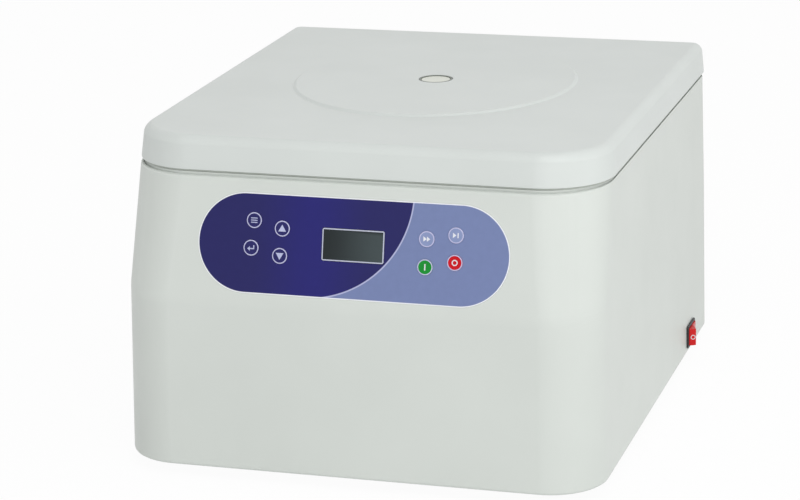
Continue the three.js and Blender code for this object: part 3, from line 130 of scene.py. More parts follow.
def startOutline(half, front, back, frontRadius, rearRadius, height, frontSteps=16, rearSteps=6):
    # a flat plate with rounded corners, left in edit mode with its face selected
    middle = (front + back) / 2
    clearSelection()
    bpy.ops.mesh.primitive_plane_add(size=1, location=(0, 0, 0))
    bpy.ops.object.mode_set(mode="EDIT")
    bpy.ops.transform.resize(value=(2 * half, back - front, 1))
    bpy.ops.transform.translate(value=(0, middle, height))
    choose("VERT", lambda v: v.co.y < middle)
    bpy.ops.mesh.bevel(affect="VERTICES", offset=frontRadius, segments=frontSteps, profile=0.5)
    choose("VERT", lambda v: v.co.y > back - hair)
    bpy.ops.mesh.bevel(affect="VERTICES", offset=rearRadius, segments=rearSteps, profile=0.5)
    bpy.ops.mesh.select_mode(type="FACE")
    bpy.ops.mesh.select_all(action="SELECT")


def raiseLevel(rise, narrowing, lean):
    # pushes the selected top face up, draws its sides in, and moves its front part back
    pushUp(rise)
    chosen = [v.co.copy() for v in bmesh.from_edit_mesh(bpy.context.object.data).verts if v.select]
    top = max(place.z for place in chosen)
    half = max(place.x for place in chosen)
    middle = (min(place.y for place in chosen) + max(place.y for place in chosen)) / 2
    bpy.ops.transform.resize(value=((half - narrowing) / half, 1, 1), center_override=(0, 0, 0))
    choose("VERT", lambda v: v.select and v.co.y < middle)
    bpy.ops.transform.translate(value=(0, lean, 0))
    choose("FACE", lambda f: atHeight(top)(f) and abs(f.normal.z) > 0.9)


def makeOutward(weld=0.0001, at=(0, 0, 0)):
    # merges doubles, turns the faces outward, moves the piece where asked and leaves edit mode
    bpy.ops.mesh.select_all(action="SELECT")
    bpy.ops.mesh.remove_doubles(threshold=weld)
    bpy.ops.mesh.normals_make_consistent(inside=False)
    bpy.ops.mesh.select_all(action="SELECT")
    bpy.ops.transform.translate(value=at)
    bpy.ops.object.mode_set(mode="OBJECT")
    return bpy.context.object


def drawPath(points):
    # one vertex is drawn out from point to point, and all are left selected in edit mode
    clearSelection()
    bpy.ops.mesh.primitive_plane_add(size=hair, location=(0, 0, 0))
    bpy.ops.object.mode_set(mode="EDIT")
    bpy.ops.mesh.select_mode(type="VERT")
    bpy.ops.mesh.select_all(action="SELECT")
    bpy.ops.mesh.merge(type="CENTER")
    place = Vector(points[0])
    bpy.ops.transform.translate(value=place)
    for point in points[1:]:
        bpy.ops.mesh.extrude_vertices_move(TRANSFORM_OT_translate={"value": Vector(point) - place})
        place = Vector(point)
    bpy.ops.mesh.select_all(action="SELECT")


def spinProfile(points, steps, at=(0, 0, 0)):
    # a profile of (radius, height) points is spun about the Z axis
    drawPath([(radius, 0, height) for radius, height in points])
    bpy.ops.mesh.spin(steps=steps, angle=math.tau, center=(0, 0, 0), axis=(0, 0, 1))
    return makeOutward(0.0005, at)


def drawOutline(points, thickness):
    # an outline of (x, y) points is filled and pushed up
    drawPath([(x, y, 0) for x, y in points])
    bpy.ops.mesh.edge_face_add()
    pushUp(thickness)
    return makeOutward()


def turnsRound(count):
    return [math.tau * i / count for i in range(count)]


def arcPoints(x, y, radius, start, end, steps):
    turns = [start + (end - start) * i / steps for i in range(steps + 1)]
    return [(x + radius * math.cos(turn), y + radius * math.sin(turn)) for turn in turns]


def block(size, at, ease=0.0):
    # a box about a point, its edges rounded where asked
    clearSelection()
    bpy.ops.mesh.primitive_cube_add(size=1, location=(0, 0, 0))
    bpy.ops.object.mode_set(mode="EDIT")
    bpy.ops.transform.resize(value=size)
    bpy.ops.transform.translate(value=at)
    if ease:
        bpy.ops.mesh.select_all(action="SELECT")
        bpy.ops.mesh.bevel(offset=ease, segments=3, profile=0.5)
    bpy.ops.object.mode_set(mode="OBJECT")
    return bpy.context.object


def rod(radius, low, high, at=(0, 0, 0), steps=48):
    return spinProfile([(0, low), (radius, low), (radius, high), (0, high)], steps, at)


def ringPlate(inner, outer, rise):
    return spinProfile([(inner, 0), (outer, 0), (outer, rise), (inner, rise), (inner, 0)], 32)


def roundPlate(width, height, low, high, radius, at=(0, 0), steps=6):
    startOutline(width / 2, -height / 2, height / 2, radius, radius, low, steps, steps)
    riseTo(high)
    bpy.ops.mesh.select_all(action="SELECT")
    bpy.ops.transform.translate(value=(*at, 0))
    return makeOutward()


def turnPiece(piece, matrix):
    # turns or moves a piece, and leaves its object at the origin
    pick(piece)
    piece.matrix_world = matrix
    bpy.ops.object.transform_apply(location=True, rotation=True, scale=True)
    return piece


def applyModifier(piece, kind, **values):
    pick(piece)
    modifier = piece.modifiers.new(kind.title(), kind)
    for name, value in values.items():
        setattr(modifier, name, value)
    bpy.ops.object.modifier_apply(modifier=modifier.name)
    return piece


def combine(piece, tools, operation):
    for tool in tools:
        applyModifier(piece, "BOOLEAN", object=tool, operation=operation, solver="EXACT")
        bpy.data.objects.remove(tool, do_unlink=True)
    return piece


def cutWith(piece, *tools):
    return combine(piece, tools, "DIFFERENCE")


def joinWith(piece, *others):
    return combine(piece, others, "UNION")


def joinLoose(pieces):
    # one object of several pieces, each a body of its own in it
    pick(pieces[0])
    for piece in pieces:
        piece.select_set(True)
    if len(pieces) > 1:
        bpy.ops.object.join()
    return bpy.context.object


def arrange(piece, spots):
    # copies of a piece at several spots, as one object
    copies = []
    for spot in spots:
        pick(piece)
        bpy.ops.object.duplicate()
        copies.append(turnPiece(bpy.context.object, spot))
    bpy.data.objects.remove(piece, do_unlink=True)
    return joinLoose(copies)


def flutes(count, radius, out, low, high):
    # rods in a ring, which cut the grips of caps and nuts
    places = [(out * math.cos(turn), out * math.sin(turn), 0) for turn in turnsRound(count)]
    return joinLoose([rod(radius, low, high, place, 16) for place in places])


def easeEdges(piece, width, steps=2, sharper=0.6):
    return applyModifier(
        piece, "BEVEL", width=width, segments=steps, limit_method="ANGLE", angle_limit=sharper,
        use_clamp_overlap=True, harden_normals=False,
    )


def finishPiece(piece, name, body, slotName, replaced=(), material=None):
    # shades a piece, brings it into the frame, and says what it rides on and which nodes it stands for
    pick(piece)
    piece.name = name
    bpy.ops.object.shade_smooth_by_angle(angle=0.6)
    applyModifier(piece, "WEIGHTED_NORMAL", keep_sharp=True, weight=80)
    turnPiece(piece, toFrame)
    if not piece.data.materials:
        piece.data.materials.append(material or finishes[slotName])
    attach(piece, body)
    if replaced:
        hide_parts(*replaced)


lidLow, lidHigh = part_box("lid_shell")
half = machine["width"] / 2
depth = machine["depth"]
ground = machine["ground"]
crease = machine["creaseHeight"]
axisY = depth - machine["axisToBack"]
slope = math.atan2(machine["slopeBack"], machine["ledgeHeight"] - crease)
toFrame = move((lidLow.x + lidHigh.x) / 2, lidHigh.y - depth * millimetre, 0) @ Matrix.Scale(millimetre, 4)
panelPlace = move(0, 0, crease) @ rotate(rightAngle - slope, "X")


# Materials: every finish is procedural and reads Object coordinates, in metres

def linear(red, green, blue):
    # a colour given as it shows, from 0 to 255
    shares = [value / 255 for value in (red, green, blue)]
    return [*(s / 12.92 if s <= 0.04045 else ((s + 0.055) / 1.055) ** 2.4 for s in shares), 1]


def newMaterial(name):
    material = bpy.data.materials.new(name)
    material.use_nodes = True
    tree = material.node_tree
    place = tree.nodes.new("ShaderNodeTexCoord").outputs["Object"]
    return material, tree, tree.nodes["Principled BSDF"], place


def fillSockets(tree, node, values):
    # each socket gets a number, a colour or another node's output
    for socket, value in values.items():
        if isinstance(value, bpy.types.NodeSocket):
            tree.links.new(value, node.inputs[socket])
        else:
            node.inputs[socket].default_value = value


def addNode(tree, kind, values, **settings):
    node = tree.nodes.new("ShaderNode" + kind)
    for name, setting in settings.items():
        setattr(node, name, setting)
    fillSockets(tree, node, values)
    return node


def noiseNode(tree, place, scale, detail=3.0):
    return addNode(tree, "TexNoise", {"Vector": place, "Scale": scale, "Detail": detail}).outputs["Fac"]


def mathNode(tree, operation, *values):
    return addNode(tree, "Math", dict(enumerate(values)), operation=operation).outputs[0]


def mixNode(tree, factor, first, second):
    return addNode(tree, "Mix", {0: factor, 6: first, 7: second}, data_type="RGBA").outputs[2]


def spreadNode(tree, value, low, high, toLow=0.0, toHigh=1.0, kind="LINEAR"):
    ends = {"Value": value, "From Min": low, "From Max": high, "To Min": toLow, "To Max": toHigh}
    return addNode(tree, "MapRange", ends, interpolation_type=kind).outputs["Result"]


def unevenNode(tree, place, scale, low, high):
    # a value that wanders between two ends over the surface
    return spreadNode(tree, noiseNode(tree, place, scale), 0.3, 0.7, low, high)


def bumpNode(tree, height, strength, distance):
    values = {"Height": height, "Strength": strength, "Distance": distance}
    return addNode(tree, "Bump", values).outputs["Normal"]


def distanceNode(tree, x, y):
    squares = mathNode(tree, "ADD", mathNode(tree, "MULTIPLY", x, x), mathNode(tree, "MULTIPLY", y, y))
    return mathNode(tree, "SQRT", squares)


def aroundPlace(tree, place, matrix, scale):
    # Object coordinates seen from a place of their own, split into X, Y and Z
    values = {"Vector": place, "Location": matrix.to_translation(), "Rotation": matrix.to_euler(),
              "Scale": scale}
    mapping = addNode(tree, "Mapping", values, vector_type="TEXTURE")
    split = addNode(tree, "SeparateXYZ", {"Vector": mapping.outputs["Vector"]})
    return split.outputs["X"], split.outputs["Y"], split.outputs["Z"]


def plainFinish(name, low, high, scale, roughness, metallic=0.0, grain=None, spread=0.06, specular=0.5):
    # a finish whose colour drifts between two near tones, with a slightly uneven gloss
    material, tree, shader, place = newMaterial(name)
    tone = spreadNode(tree, noiseNode(tree, place, scale), 0.35, 0.65)
    fillSockets(tree, shader, {
        "Base Color": mixNode(tree, tone, linear(*low), linear(*high)),
        "Roughness": unevenNode(tree, place, scale * 3, roughness - spread / 2, roughness + spread / 2),
        "Metallic": metallic,
        "Specular IOR Level": specular,
    })
    if grain:
        grainScale, strength, distance = grain
        relief = bumpNode(tree, noiseNode(tree, place, grainScale, 2.0), strength, distance)
        tree.links.new(relief, shader.inputs["Normal"])
    return material


filmGloss = {"roughness": 0.38, "specular": 0.18}
paintGrain = (900, 0.12, 0.0002)
lidGrain = (900, 0.1, 0.0002)
rubberGrain = (1500, 0.2, 0.0002)
plasticGrain = (1500, 0.15, 0.0002)
castGrain = (700, 0.3, 0.0004)
finishes = {
    "housing": plainFinish("housingPaint", (208, 213, 208), (211, 216, 211), 9, 0.42, grain=paintGrain),
    "lid": plainFinish("lidPaint", (209, 214, 211), (212, 217, 214), 8, 0.4, grain=lidGrain),
    "lens": plainFinish("windowPlastic", (205, 209, 195), (214, 217, 204), 60, 0.18),
    # partly painted shade: the gasket's grey is darker than the lid's paint and stands for the shade in the
    # gap under the lid
    "gasket": plainFinish("lidGasketShadeGrey", (178, 183, 176), (184, 189, 182), 60, 0.7),
    "rim": plainFinish("windowRim", (104, 110, 104), (118, 124, 117), 60, 0.45),
    "overlay": plainFinish("overlayFilm", (37, 36, 92), (40, 39, 98), 30, **filmGloss),
    "key_blue": plainFinish("blueKey", (37, 36, 92), (41, 40, 100), 90, **filmGloss),
    "key_pale": plainFinish("paleKey", (133, 146, 186), (140, 152, 192), 90, **filmGloss),
    "key_green": plainFinish("greenKey", (14, 132, 42), (22, 142, 50), 90, **filmGloss),
    "key_red": plainFinish("redKey", (196, 10, 26), (206, 18, 34), 90, **filmGloss),
    "display": plainFinish("displayGlass", (56, 63, 61), (64, 72, 70), 40, 0.12),
    "circuit": plainFinish("circuitBoard", (28, 98, 56), (36, 112, 64), 60, 0.5),
    "rubber": plainFinish("blackRubber", (36, 36, 37), (46, 46, 47), 60, 0.8, grain=rubberGrain),
    "black_plastic": plainFinish("blackPlastic", (28, 28, 30), (38, 38, 40), 60, 0.45, grain=plasticGrain),
    "red_plastic": plainFinish("rockerRed", (200, 14, 18), (210, 24, 26), 90, 0.35, specular=0.3),
    "steel": plainFinish("brushedSteel", (176, 178, 180), (196, 198, 200), 40, 0.3, 1.0, spread=0.12),
    "sheet": plainFinish("zincSheet", (158, 162, 164), (184, 187, 188), 30, 0.42, 1.0, spread=0.14),
    "aluminium": plainFinish("castAluminium", (190, 192, 194), (208, 210, 212), 50, 0.36, 1.0, spread=0.1),
    "cast_iron": plainFinish("darkCasting", (58, 62, 66), (72, 76, 80), 70, 0.55, 0.6, grain=castGrain),
    "copper": plainFinish("copperWinding", (160, 96, 56), (182, 112, 66), 80, 0.38, 0.9),
}
ringWhite = plainFinish("keyRing", (184, 184, 218), (192, 192, 224), 90, 0.4)
signPale = plainFinish("paleSign", (176, 180, 214), (186, 190, 222), 90, 0.4)
signWhite = plainFinish("whiteSign", (220, 222, 228), (230, 232, 236), 90, 0.4)
print("materials made")


# Housing: an outline raised level by level, hollowed, and cut for the chamber, panel, switch and rear panel

housing = {
    "creaseNarrowing": 1.9,    # how far each side draws in from the lower edge to the crease
    "topNarrowing": 4.1,       # the same up to the ledge
    "cornerRadius": 45,
    "topCornerRadius": 53,
    "rearRadius": 9,
    "innerRearRadius": 4,
    "toe": 4,                  # the lower edge stands ahead of the crease
    "creaseRound": 5,
    "creaseSteps": 3,
    "lowerRound": 3,
    "wall": 3.5,
    "deckHeight": 235.5,
    "deckThickness": 4,
    "ledgeLift": 1.7,
    "ledgeFront": 4.6,         # how wide the ledge is at the front, and at the sides
    "ledgeSide": 0.5,
    "ledgeRound": 1.6,
    "ledgeSideRound": 0.6,
    "ledgeBands": 12,
    "grooveWidth": 1.0,
    "grooveDepth": 1.4,
    "rimWidth": 2.6,           # a raised rim runs round the plinth's edge
    "rimRise": 0.8,
    "mouthRadius": 157.3,
    "slotWidth": 10,
    "slotDepth": 23,
    "slotToAxis": 193,
}
panel = {
    "width": 243.5,
    "height": 76.3,
    "across": 0.95,
    "up": 45.75,
    "recess": 1.4,
    "proud": 0.2,
    "gap": 0.1,
    "windowAcross": 1.672,
    "windowUp": 48.3,
    "windowWidth": 49,
    "windowHeight": 25,
    "windowCorner": 1.6,
    "behindWindow": 1.9,       # the housing's hole is this much larger all round
    "stemHole": 2.6,
    "keyHole": 6.1,
}
rocker = {
    "toBack": 77,
    "height": 24.4,
    "bezelLength": 30.2,
    "bezelHeight": 19.4,
    "bezelProud": 1.3,
    "bezelCorner": 2,
    "bezelRound": 0.7,
    "border": 1.2,
    "holeGap": 0.4,
    "bodyWall": 0.7,
    "bodyDepth": 15.5,
    "bend": 12,
    "endAngle": 28.5,
    "hub": 5,
    "pin": 2.1,
    "pinBore": 2.5,
    "pivotOut": -1.1,
    "play": 0.4,
    "ease": 0.45,
    "standOff": 0.3,           # the bezel clears the leaning wall by this much
}
rearPanel = {"width": 300, "height": 150, "low": 19.5, "thickness": 2, "lip": 5, "round": 6, "gap": 0.3}

ledge = machine["ledgeHeight"] + housing["ledgeLift"]
deck = housing["deckHeight"]
rimTop = deck + housing["rimRise"]


def frontAt(height):
    # the front leans in from the toe to the crease, and back from the crease to the ledge, with a soft bend
    lower = -housing["toe"] / (crease - ground)
    bend = housing["creaseRound"]
    if height <= crease - bend:
        return lower * (crease - height)
    if height >= crease + bend:
        return (height - crease) * math.tan(slope)
    share = (height - crease + bend) / (2 * bend)
    return (1 - share) ** 2 * lower * bend + share ** 2 * bend * math.tan(slope)


def halfAt(height):
    low = min(max((height - ground) / (crease - ground), 0), 1)
    high = min(max((height - crease) / (machine["ledgeHeight"] - crease), 0), 1)
    slopeNarrowing = housing["topNarrowing"] - housing["creaseNarrowing"]
    return half - housing["creaseNarrowing"] * low - slopeNarrowing * high


def topFace(height):
    return lambda f: atHeight(height)(f) and len(f.verts) > 4


def growCorners(height, inset):
    # the front corners grow rounder up the slope: each arc is enlarged from where its sides would meet
    radius = housing["cornerRadius"] - inset
    growth = (housing["topCornerRadius"] - inset) / radius
    sideways, front = halfAt(height) - inset, frontAt(height) + inset
    reach = radius + 0.5
    for side in (-1, 1):
        choose("VERT", lambda v: atHeight(height)(v) and side * v.co.x > sideways - reach
               and v.co.y < front + reach)
        bpy.ops.transform.resize(value=(growth, growth, 1), center_override=(side * sideways, front, 0))
    choose("FACE", topFace(height))


def raiseBody(heights, inset):
    startOutline(halfAt(heights[0]) - inset, frontAt(heights[0]) + inset, depth - inset,
                 housing["cornerRadius"] - inset,
                 max(housing["rearRadius"] - inset, housing["innerRearRadius"]), heights[0])
    for low, high in zip(heights, heights[1:]):
        raiseLevel(high - low, halfAt(low) - halfAt(high), frontAt(high) - frontAt(low))
    growCorners(heights[-1], inset)


steps = housing["creaseSteps"]
creaseLevels = [crease + housing["creaseRound"] * step / steps for step in range(-steps, steps + 1)]
raiseBody([ground, *creaseLevels, ledge], 0)

# a narrow groove parts the ledge from the plinth under the lid, which stands back most at the front
bpy.ops.mesh.inset(thickness=housing["ledgeSide"])
choose("VERT", lambda v: v.select and v.co.y < depth / 2)
bpy.ops.transform.translate(value=(0, housing["ledgeFront"] - housing["ledgeSide"], 0))
choose("FACE", topFace(ledge))
pushUp(-housing["grooveDepth"])
bpy.ops.mesh.inset(thickness=housing["grooveWidth"])
pushUp(rimTop - ledge + housing["grooveDepth"])
bpy.ops.mesh.inset(thickness=housing["rimWidth"])
pushUp(-housing["rimRise"])
choose("EDGE", atHeight(ground))
bpy.ops.mesh.bevel(offset=housing["lowerRound"], segments=4)


def isOuterWall(face):
    # a wall below the ledge, not one of the groove or the plinth
    centre = face.calc_center_median()
    outward = face.normal.dot(centre - Vector((0, depth / 2, centre.z))) > 0
    return abs(face.normal.z) < 0.5 and outward and min(v.co.z for v in face.verts) < ledge - past


def facingFront(edge):
    # 1 across the front, less round the front corners, and 0 along the sides and the back
    along = (edge.verts[1].co - edge.verts[0].co).normalized()
    return abs(along.x) if edge.verts[0].co.y < machine["slopeBack"] + housing["topCornerRadius"] else 0


def ledgeEdge(facing):
    return lambda e: (atHeight(ledge)(e) and any(isOuterWall(face) for face in e.link_faces)
                      and abs(facingFront(e) - facing) <= 0.5 / housing["ledgeBands"])


# the ledge's edge is rounder at the front than at the sides
sideShare = housing["ledgeSideRound"] / housing["ledgeRound"]
for band in range(housing["ledgeBands"] + 1):
    facing = band / housing["ledgeBands"]
    choose("EDGE", ledgeEdge(facing))
    bpy.ops.transform.edge_bevelweight(value=sideShare + (1 - sideShare) * facing)
shell = makeOutward()
applyModifier(shell, "BEVEL", width=housing["ledgeRound"], segments=4, limit_method="WEIGHT")
raiseBody([ground - past, *creaseLevels, deck - housing["deckThickness"]], housing["wall"])
cutWith(shell, makeOutward())
print("housing raised and hollowed", len(shell.data.vertices))


# The panel is drawn flat, X across and Y up the slope, and turned onto the slope

def stadium(width, height, low, high, at):
    return roundPlate(width, height, low, high, height / 2 - hair, at, 24)


keys = [
    {"node": "key_set", "body": "set_key", "place": (-76.5, 63.1), "finish": "key_blue"},
    {"node": "key_enter", "body": "enter_key", "place": (-78.3, 42.2), "finish": "key_blue"},
    {"node": "key_up", "body": "up_key", "place": (-54.1, 58.0), "finish": "key_blue"},
    {"node": "key_down", "body": "down_key", "place": (-55.4, 37.4), "finish": "key_blue"},
    {"node": "key_force", "body": "force_key", "place": (58.6, 56.8), "finish": "key_pale"},
    {"node": "key_short", "body": "short_key", "place": (80.9, 60.8), "finish": "key_pale"},
    {"node": "key_start", "body": "start_key", "place": (58.1, 35.9), "finish": "key_green"},
    {"node": "key_stop", "body": "stop_key", "place": (80.8, 40.5), "finish": "key_red"},
]
panelCentre = (panel["across"], panel["up"])
windowCentre = (panel["windowAcross"], panel["windowUp"])
windowSize = (panel["windowWidth"], panel["windowHeight"])


def keyHoles(radius, low, high, steps):
    return [rod(radius, low, high, (*key["place"], 0), steps) for key in keys]


holes = [
    stadium(panel["width"], panel["height"], -panel["recess"], farPast, panelCentre),
    block((*(size + 2 * panel["behindWindow"] for size in windowSize), 6 * past), (*windowCentre, -farPast)),
    *keyHoles(panel["stemHole"], -3 * past, past, 16),
]
cutWith(shell, *(turnPiece(hole, panelPlace) for hole in holes))

openLength = rocker["bezelLength"] - 2 * rocker["border"]
openHeight = rocker["bezelHeight"] - 2 * rocker["border"]
switchHole = block((6 * past, openLength + 2 * rocker["holeGap"], openHeight + 2 * rocker["holeGap"]),
                   (half, depth - rocker["toBack"], rocker["height"]))
mouth = rod(housing["mouthRadius"], deck - 5 * past, deck + past + farPast, (0, axisY, 0), 128)
strikerSlot = block((housing["slotWidth"], housing["slotDepth"], 5 * farPast),
                    (0, axisY - housing["slotToAxis"], deck))
middleUp = rearPanel["low"] + rearPanel["height"] / 2


def rearPlate(inset, near, far):
    plate = roundPlate(rearPanel["width"] - 2 * inset, rearPanel["height"] - 2 * inset, near, far,
                       rearPanel["round"])
    return turnPiece(plate, move(0, depth, middleUp) @ rotate(-rightAngle, "X"))


rebate = rearPlate(-rearPanel["gap"], -rearPanel["thickness"] - rearPanel["gap"], farPast)
rearHole = rearPlate(rearPanel["lip"], -4 * past, -1)
cutWith(shell, mouth, strikerSlot, switchHole, rebate, rearHole)
finishPiece(shell, "housingShell", "housing", "housing", ["housing_shell"])
print("housing cut", len(shell.data.polygons))


# Lid: a hollow cover with a round disc on top, its liner, and the little window over the rotor's nut

lid = {
    "half": 187.2,
    "front": 26,
    "bottom": 237.6,
    "top": 262.8,
    "draft": 2.2,              # the sides and the front lean in going up
    "frontDraft": 4.2,
    "cornerRadius": 52,
    "rearRadius": 9,
    "wall": 3,
    "topRound": 7,
    "innerRound": 4.2,
    "lowerRound": 0.8,
    "gasketInset": 1.2,
    "gasketWidth": 1.7,
    "gasketDrop": 1.1,
    "gasketSink": 0.2,
    "discRadius": 115.5,
    "discStretch": 1.1,        # the disc is a little longer to the front and back
    "discRise": 1.6,
    "discSlope": 3.0,
    "discSteps": 8,
    "linerLow": 241.1,
    "linerHigh": 243.6,
    "linerGap": 1.1,
    "ringRadius": 172,
    "ringWidth": 4,
    "ringDrop": 1.5,
    "ringEase": 0.6,
}
window = {
    "boreRadius": 13.9,
    "rimRadius": 14.1,
    "rimSink": 1.5,
    "flange": 13.9,
    "flangeLow": 1.2,          # each low, the lens's edge and its top are depths below the disc's top
    "ease": 0.3,
    "sleeve": 13.6,
    "sleeveBore": 11.2,
    "seat": 12.3,
    "seatLow": 3.2,
    "lens": 12.1,
    "lensLow": 2.9,
    "lensEdge": 0.8,
    "lensTop": 0.4,
}
axisPlace = (0, axisY, 0)
lidTop, lidBottom = lid["top"], lid["bottom"]
crown = lidTop + lid["discRise"]


def lidOutline(inset, height):
    startOutline(lid["half"] - inset, lid["front"] + inset, depth - inset,
                 lid["cornerRadius"] - inset, lid["rearRadius"] - min(inset, lid["rearRadius"] / 2), height)


def lidSlab(inset, low, high):
    lidOutline(inset, low)
    riseTo(high)
    return makeOutward()


lidOutline(0, lidBottom)
raiseLevel(lidTop - lidBottom, lid["draft"], lid["frontDraft"])
choose("EDGE", atHeight(lidTop))
bpy.ops.mesh.bevel(offset=lid["topRound"], segments=10)
choose("EDGE", atHeight(lidBottom))
bpy.ops.mesh.bevel(offset=lid["lowerRound"], segments=3)
cover = makeOutward()
lidOutline(lid["wall"], lidBottom - past)
raiseLevel(lidTop - lidBottom + past - lid["wall"], lid["draft"], lid["frontDraft"])
choose("EDGE", atHeight(lidTop - lid["wall"]))
bpy.ops.mesh.bevel(offset=lid["innerRound"], segments=4)
cutWith(cover, makeOutward())

edgeShares = [step / lid["discSteps"] for step in range(lid["discSteps"] + 1)]
discEdge = [
    (lid["discRadius"] - lid["discSlope"] * share,
     lidTop + lid["discRise"] * (3 * share ** 2 - 2 * share ** 3))
    for share in edgeShares
]
disc = spinProfile([(0, lidTop - 1), (lid["discRadius"], lidTop - 1), *discEdge, (0, crown)], 128)
turnPiece(disc, Matrix.Scale(lid["discStretch"], 4, (0, 1, 0)))
joinWith(cover, turnPiece(disc, move(*axisPlace)))
boreLow, seatTop = lidTop - 2 * lid["wall"], crown - window["rimSink"]
bore = spinProfile(
    [(0, boreLow), (window["boreRadius"], boreLow), (window["boreRadius"], seatTop),
     (window["rimRadius"], seatTop), (window["rimRadius"], crown + past), (0, crown + past)], 64, axisPlace)
cutWith(cover, bore)
finishPiece(cover, "lidShell", "lid", "lid", ["lid_shell"])

# a gasket under the cover's rim fills most of the gap above the plinth; its grey is partly painted shade for
# that gap
gasketLow, gasketIn = lidBottom - lid["gasketDrop"], lid["gasketInset"] + lid["gasketWidth"]
gasket = lidSlab(lid["gasketInset"], gasketLow, lidBottom + lid["gasketSink"])
cutWith(gasket, lidSlab(gasketIn, gasketLow - past, lidBottom + past))
finishPiece(gasket, "lidGasket", "lid", "rubber", material=finishes["gasket"])

linerLow, linerHigh, ease = lid["linerLow"], lid["linerHigh"], lid["ringEase"]
liner = lidSlab(lid["wall"] + lid["linerGap"], linerLow, linerHigh)
ringIn, ringOut = lid["ringRadius"], lid["ringRadius"] + lid["ringWidth"]
ringLow = linerLow - lid["ringDrop"]
ring = spinProfile(
    [(ringIn + ease, ringLow), (ringOut - ease, ringLow), (ringOut, ringLow + ease),
     (ringOut, linerLow + ease), (ringIn, linerLow + ease), (ringIn, ringLow + ease),
     (ringIn + ease, ringLow)], 128, axisPlace)
joinWith(liner, ring)
cutWith(liner, rod(window["sleeveBore"], linerLow - 2 * past, linerHigh + 2 * past, axisPlace))
easeEdges(liner, 0.4)
finishPiece(liner, "lidLiner", "lid", "lid", ["lid_liner"])

sleeveLow, flangeLow, ease = linerHigh + window["ease"], crown - window["flangeLow"], window["ease"]
sleeve = spinProfile(
    [(window["seat"], crown), (window["seat"], crown - window["seatLow"]),
     (window["sleeveBore"], crown - window["seatLow"]), (window["sleeveBore"], sleeveLow),
     (window["sleeve"], sleeveLow), (window["sleeve"], flangeLow), (window["flange"], flangeLow),
     (window["flange"], crown - ease), (window["flange"] - ease, crown), (window["seat"], crown)],
    64, axisPlace)
finishPiece(sleeve, "windowSleeve", "lid", "rim", ["window_sleeve"])
lensLow, lensTop = crown - window["lensLow"], crown - window["lensTop"]
lens = spinProfile(
    [(0, lensLow), (window["lens"], lensLow), (window["lens"], crown - window["lensEdge"]),
     (window["lens"] - window["lensTop"], lensTop - 0.05), (0, lensTop)], 64, axisPlace)
finishPiece(lens, "lidWindow", "lid", "lens", ["lid_window"])
print("lid made")


# Control panel: film, display and eight keys, drawn flat and turned onto the slope

film = {
    "dark": (38, 37, 94),
    "glow": (38, 36, 110),
    "light": (118, 131, 173),
    "line": (176, 180, 214),
    "border": (244, 246, 250),
    "circle": (-35.7, 90.3, 83.5),     # the dark field's round edge: its centre and radius
    "glowFrom": 6,
    "glowWidth": 50,
    "lineWidth": 0.75,
    "borderWidth": 0.85,
    "blur": 0.15,
    "cloudiness": 0.02,
    "roughness": (0.36, 0.44),
}


def panelPosition(tree, place, across, up):
    # Object coordinates turned to millimetres across the panel and up it, from a point on it
    matrix = toFrame @ panelPlace @ move(across, up, 0)
    return aroundPlace(tree, place, matrix, (millimetre, millimetre, millimetre))[:2]


def beyondNode(tree, value, reach):
    # how far a value is beyond a reach to either side
    return mathNode(tree, "SUBTRACT", mathNode(tree, "ABSOLUTE", value), reach)


def overlayFilm():
    material, tree, shader, place = newMaterial("panelFilm")
    centreX, centreY, radius = film["circle"]
    blur, lineEdge = film["blur"], film["lineWidth"] / 2
    x, y = panelPosition(tree, place, centreX, centreY)
    away = mathNode(tree, "SUBTRACT", distanceNode(tree, x, y), radius)
    rightSide = spreadNode(tree, x, 0, 1)
    outside = mathNode(tree, "MULTIPLY", spreadNode(tree, away, -blur, blur), rightSide)
    nearLine = mathNode(tree, "ABSOLUTE", away)
    lineShare = spreadNode(tree, nearLine, lineEdge, lineEdge + 2 * blur, 1, 0)
    onLine = mathNode(tree, "MULTIPLY", lineShare, rightSide)
    fromGlow = mathNode(tree, "ABSOLUTE", mathNode(tree, "SUBTRACT", x, film["glowFrom"]))
    glow = spreadNode(tree, fromGlow, 0, film["glowWidth"], 1, 0, "SMOOTHSTEP")
    dark = mixNode(tree, glow, linear(*film["dark"]), linear(*film["glow"]))
    field = mixNode(tree, outside, dark, linear(*film["light"]))
    lined = mixNode(tree, onLine, field, linear(*film["line"]))
    across, up = panelPosition(tree, place, *panelCentre)
    straight = (panel["width"] - panel["height"]) / 2
    beyond = mathNode(tree, "MAXIMUM", beyondNode(tree, across, straight), 0.0)
    edge = panel["height"] / 2 - film["borderWidth"]
    onBorder = spreadNode(tree, distanceNode(tree, beyond, up), edge - blur, edge + blur)
    bordered = mixNode(tree, onBorder, lined, linear(*film["border"]))
    cloud = unevenNode(tree, place, 220, 1 - film["cloudiness"], 1 + film["cloudiness"])
    shade = addNode(tree, "HueSaturation", {"Value": cloud, "Color": bordered})
    fillSockets(tree, shader, {
        "Base Color": shade.outputs["Color"],
        "Roughness": unevenNode(tree, place, 400, *film["roughness"]),
        "Specular IOR Level": filmGloss["specular"],
    })
    return material


gap = panel["gap"]
overlay = stadium(panel["width"] - 2 * gap, panel["height"] - 2 * gap, gap - panel["recess"],
                  panel["proud"], panelCentre)
displayHole = roundPlate(*windowSize, -2 * past, farPast, panel["windowCorner"], windowCentre)
cutWith(overlay, displayHole, *keyHoles(panel["keyHole"], -2 * past, farPast, 48))
easeEdges(overlay, 0.08)
turnPiece(overlay, panelPlace)
finishPiece(overlay, "panelOverlay", "housing", "overlay", ["panel_overlay"], overlayFilm())

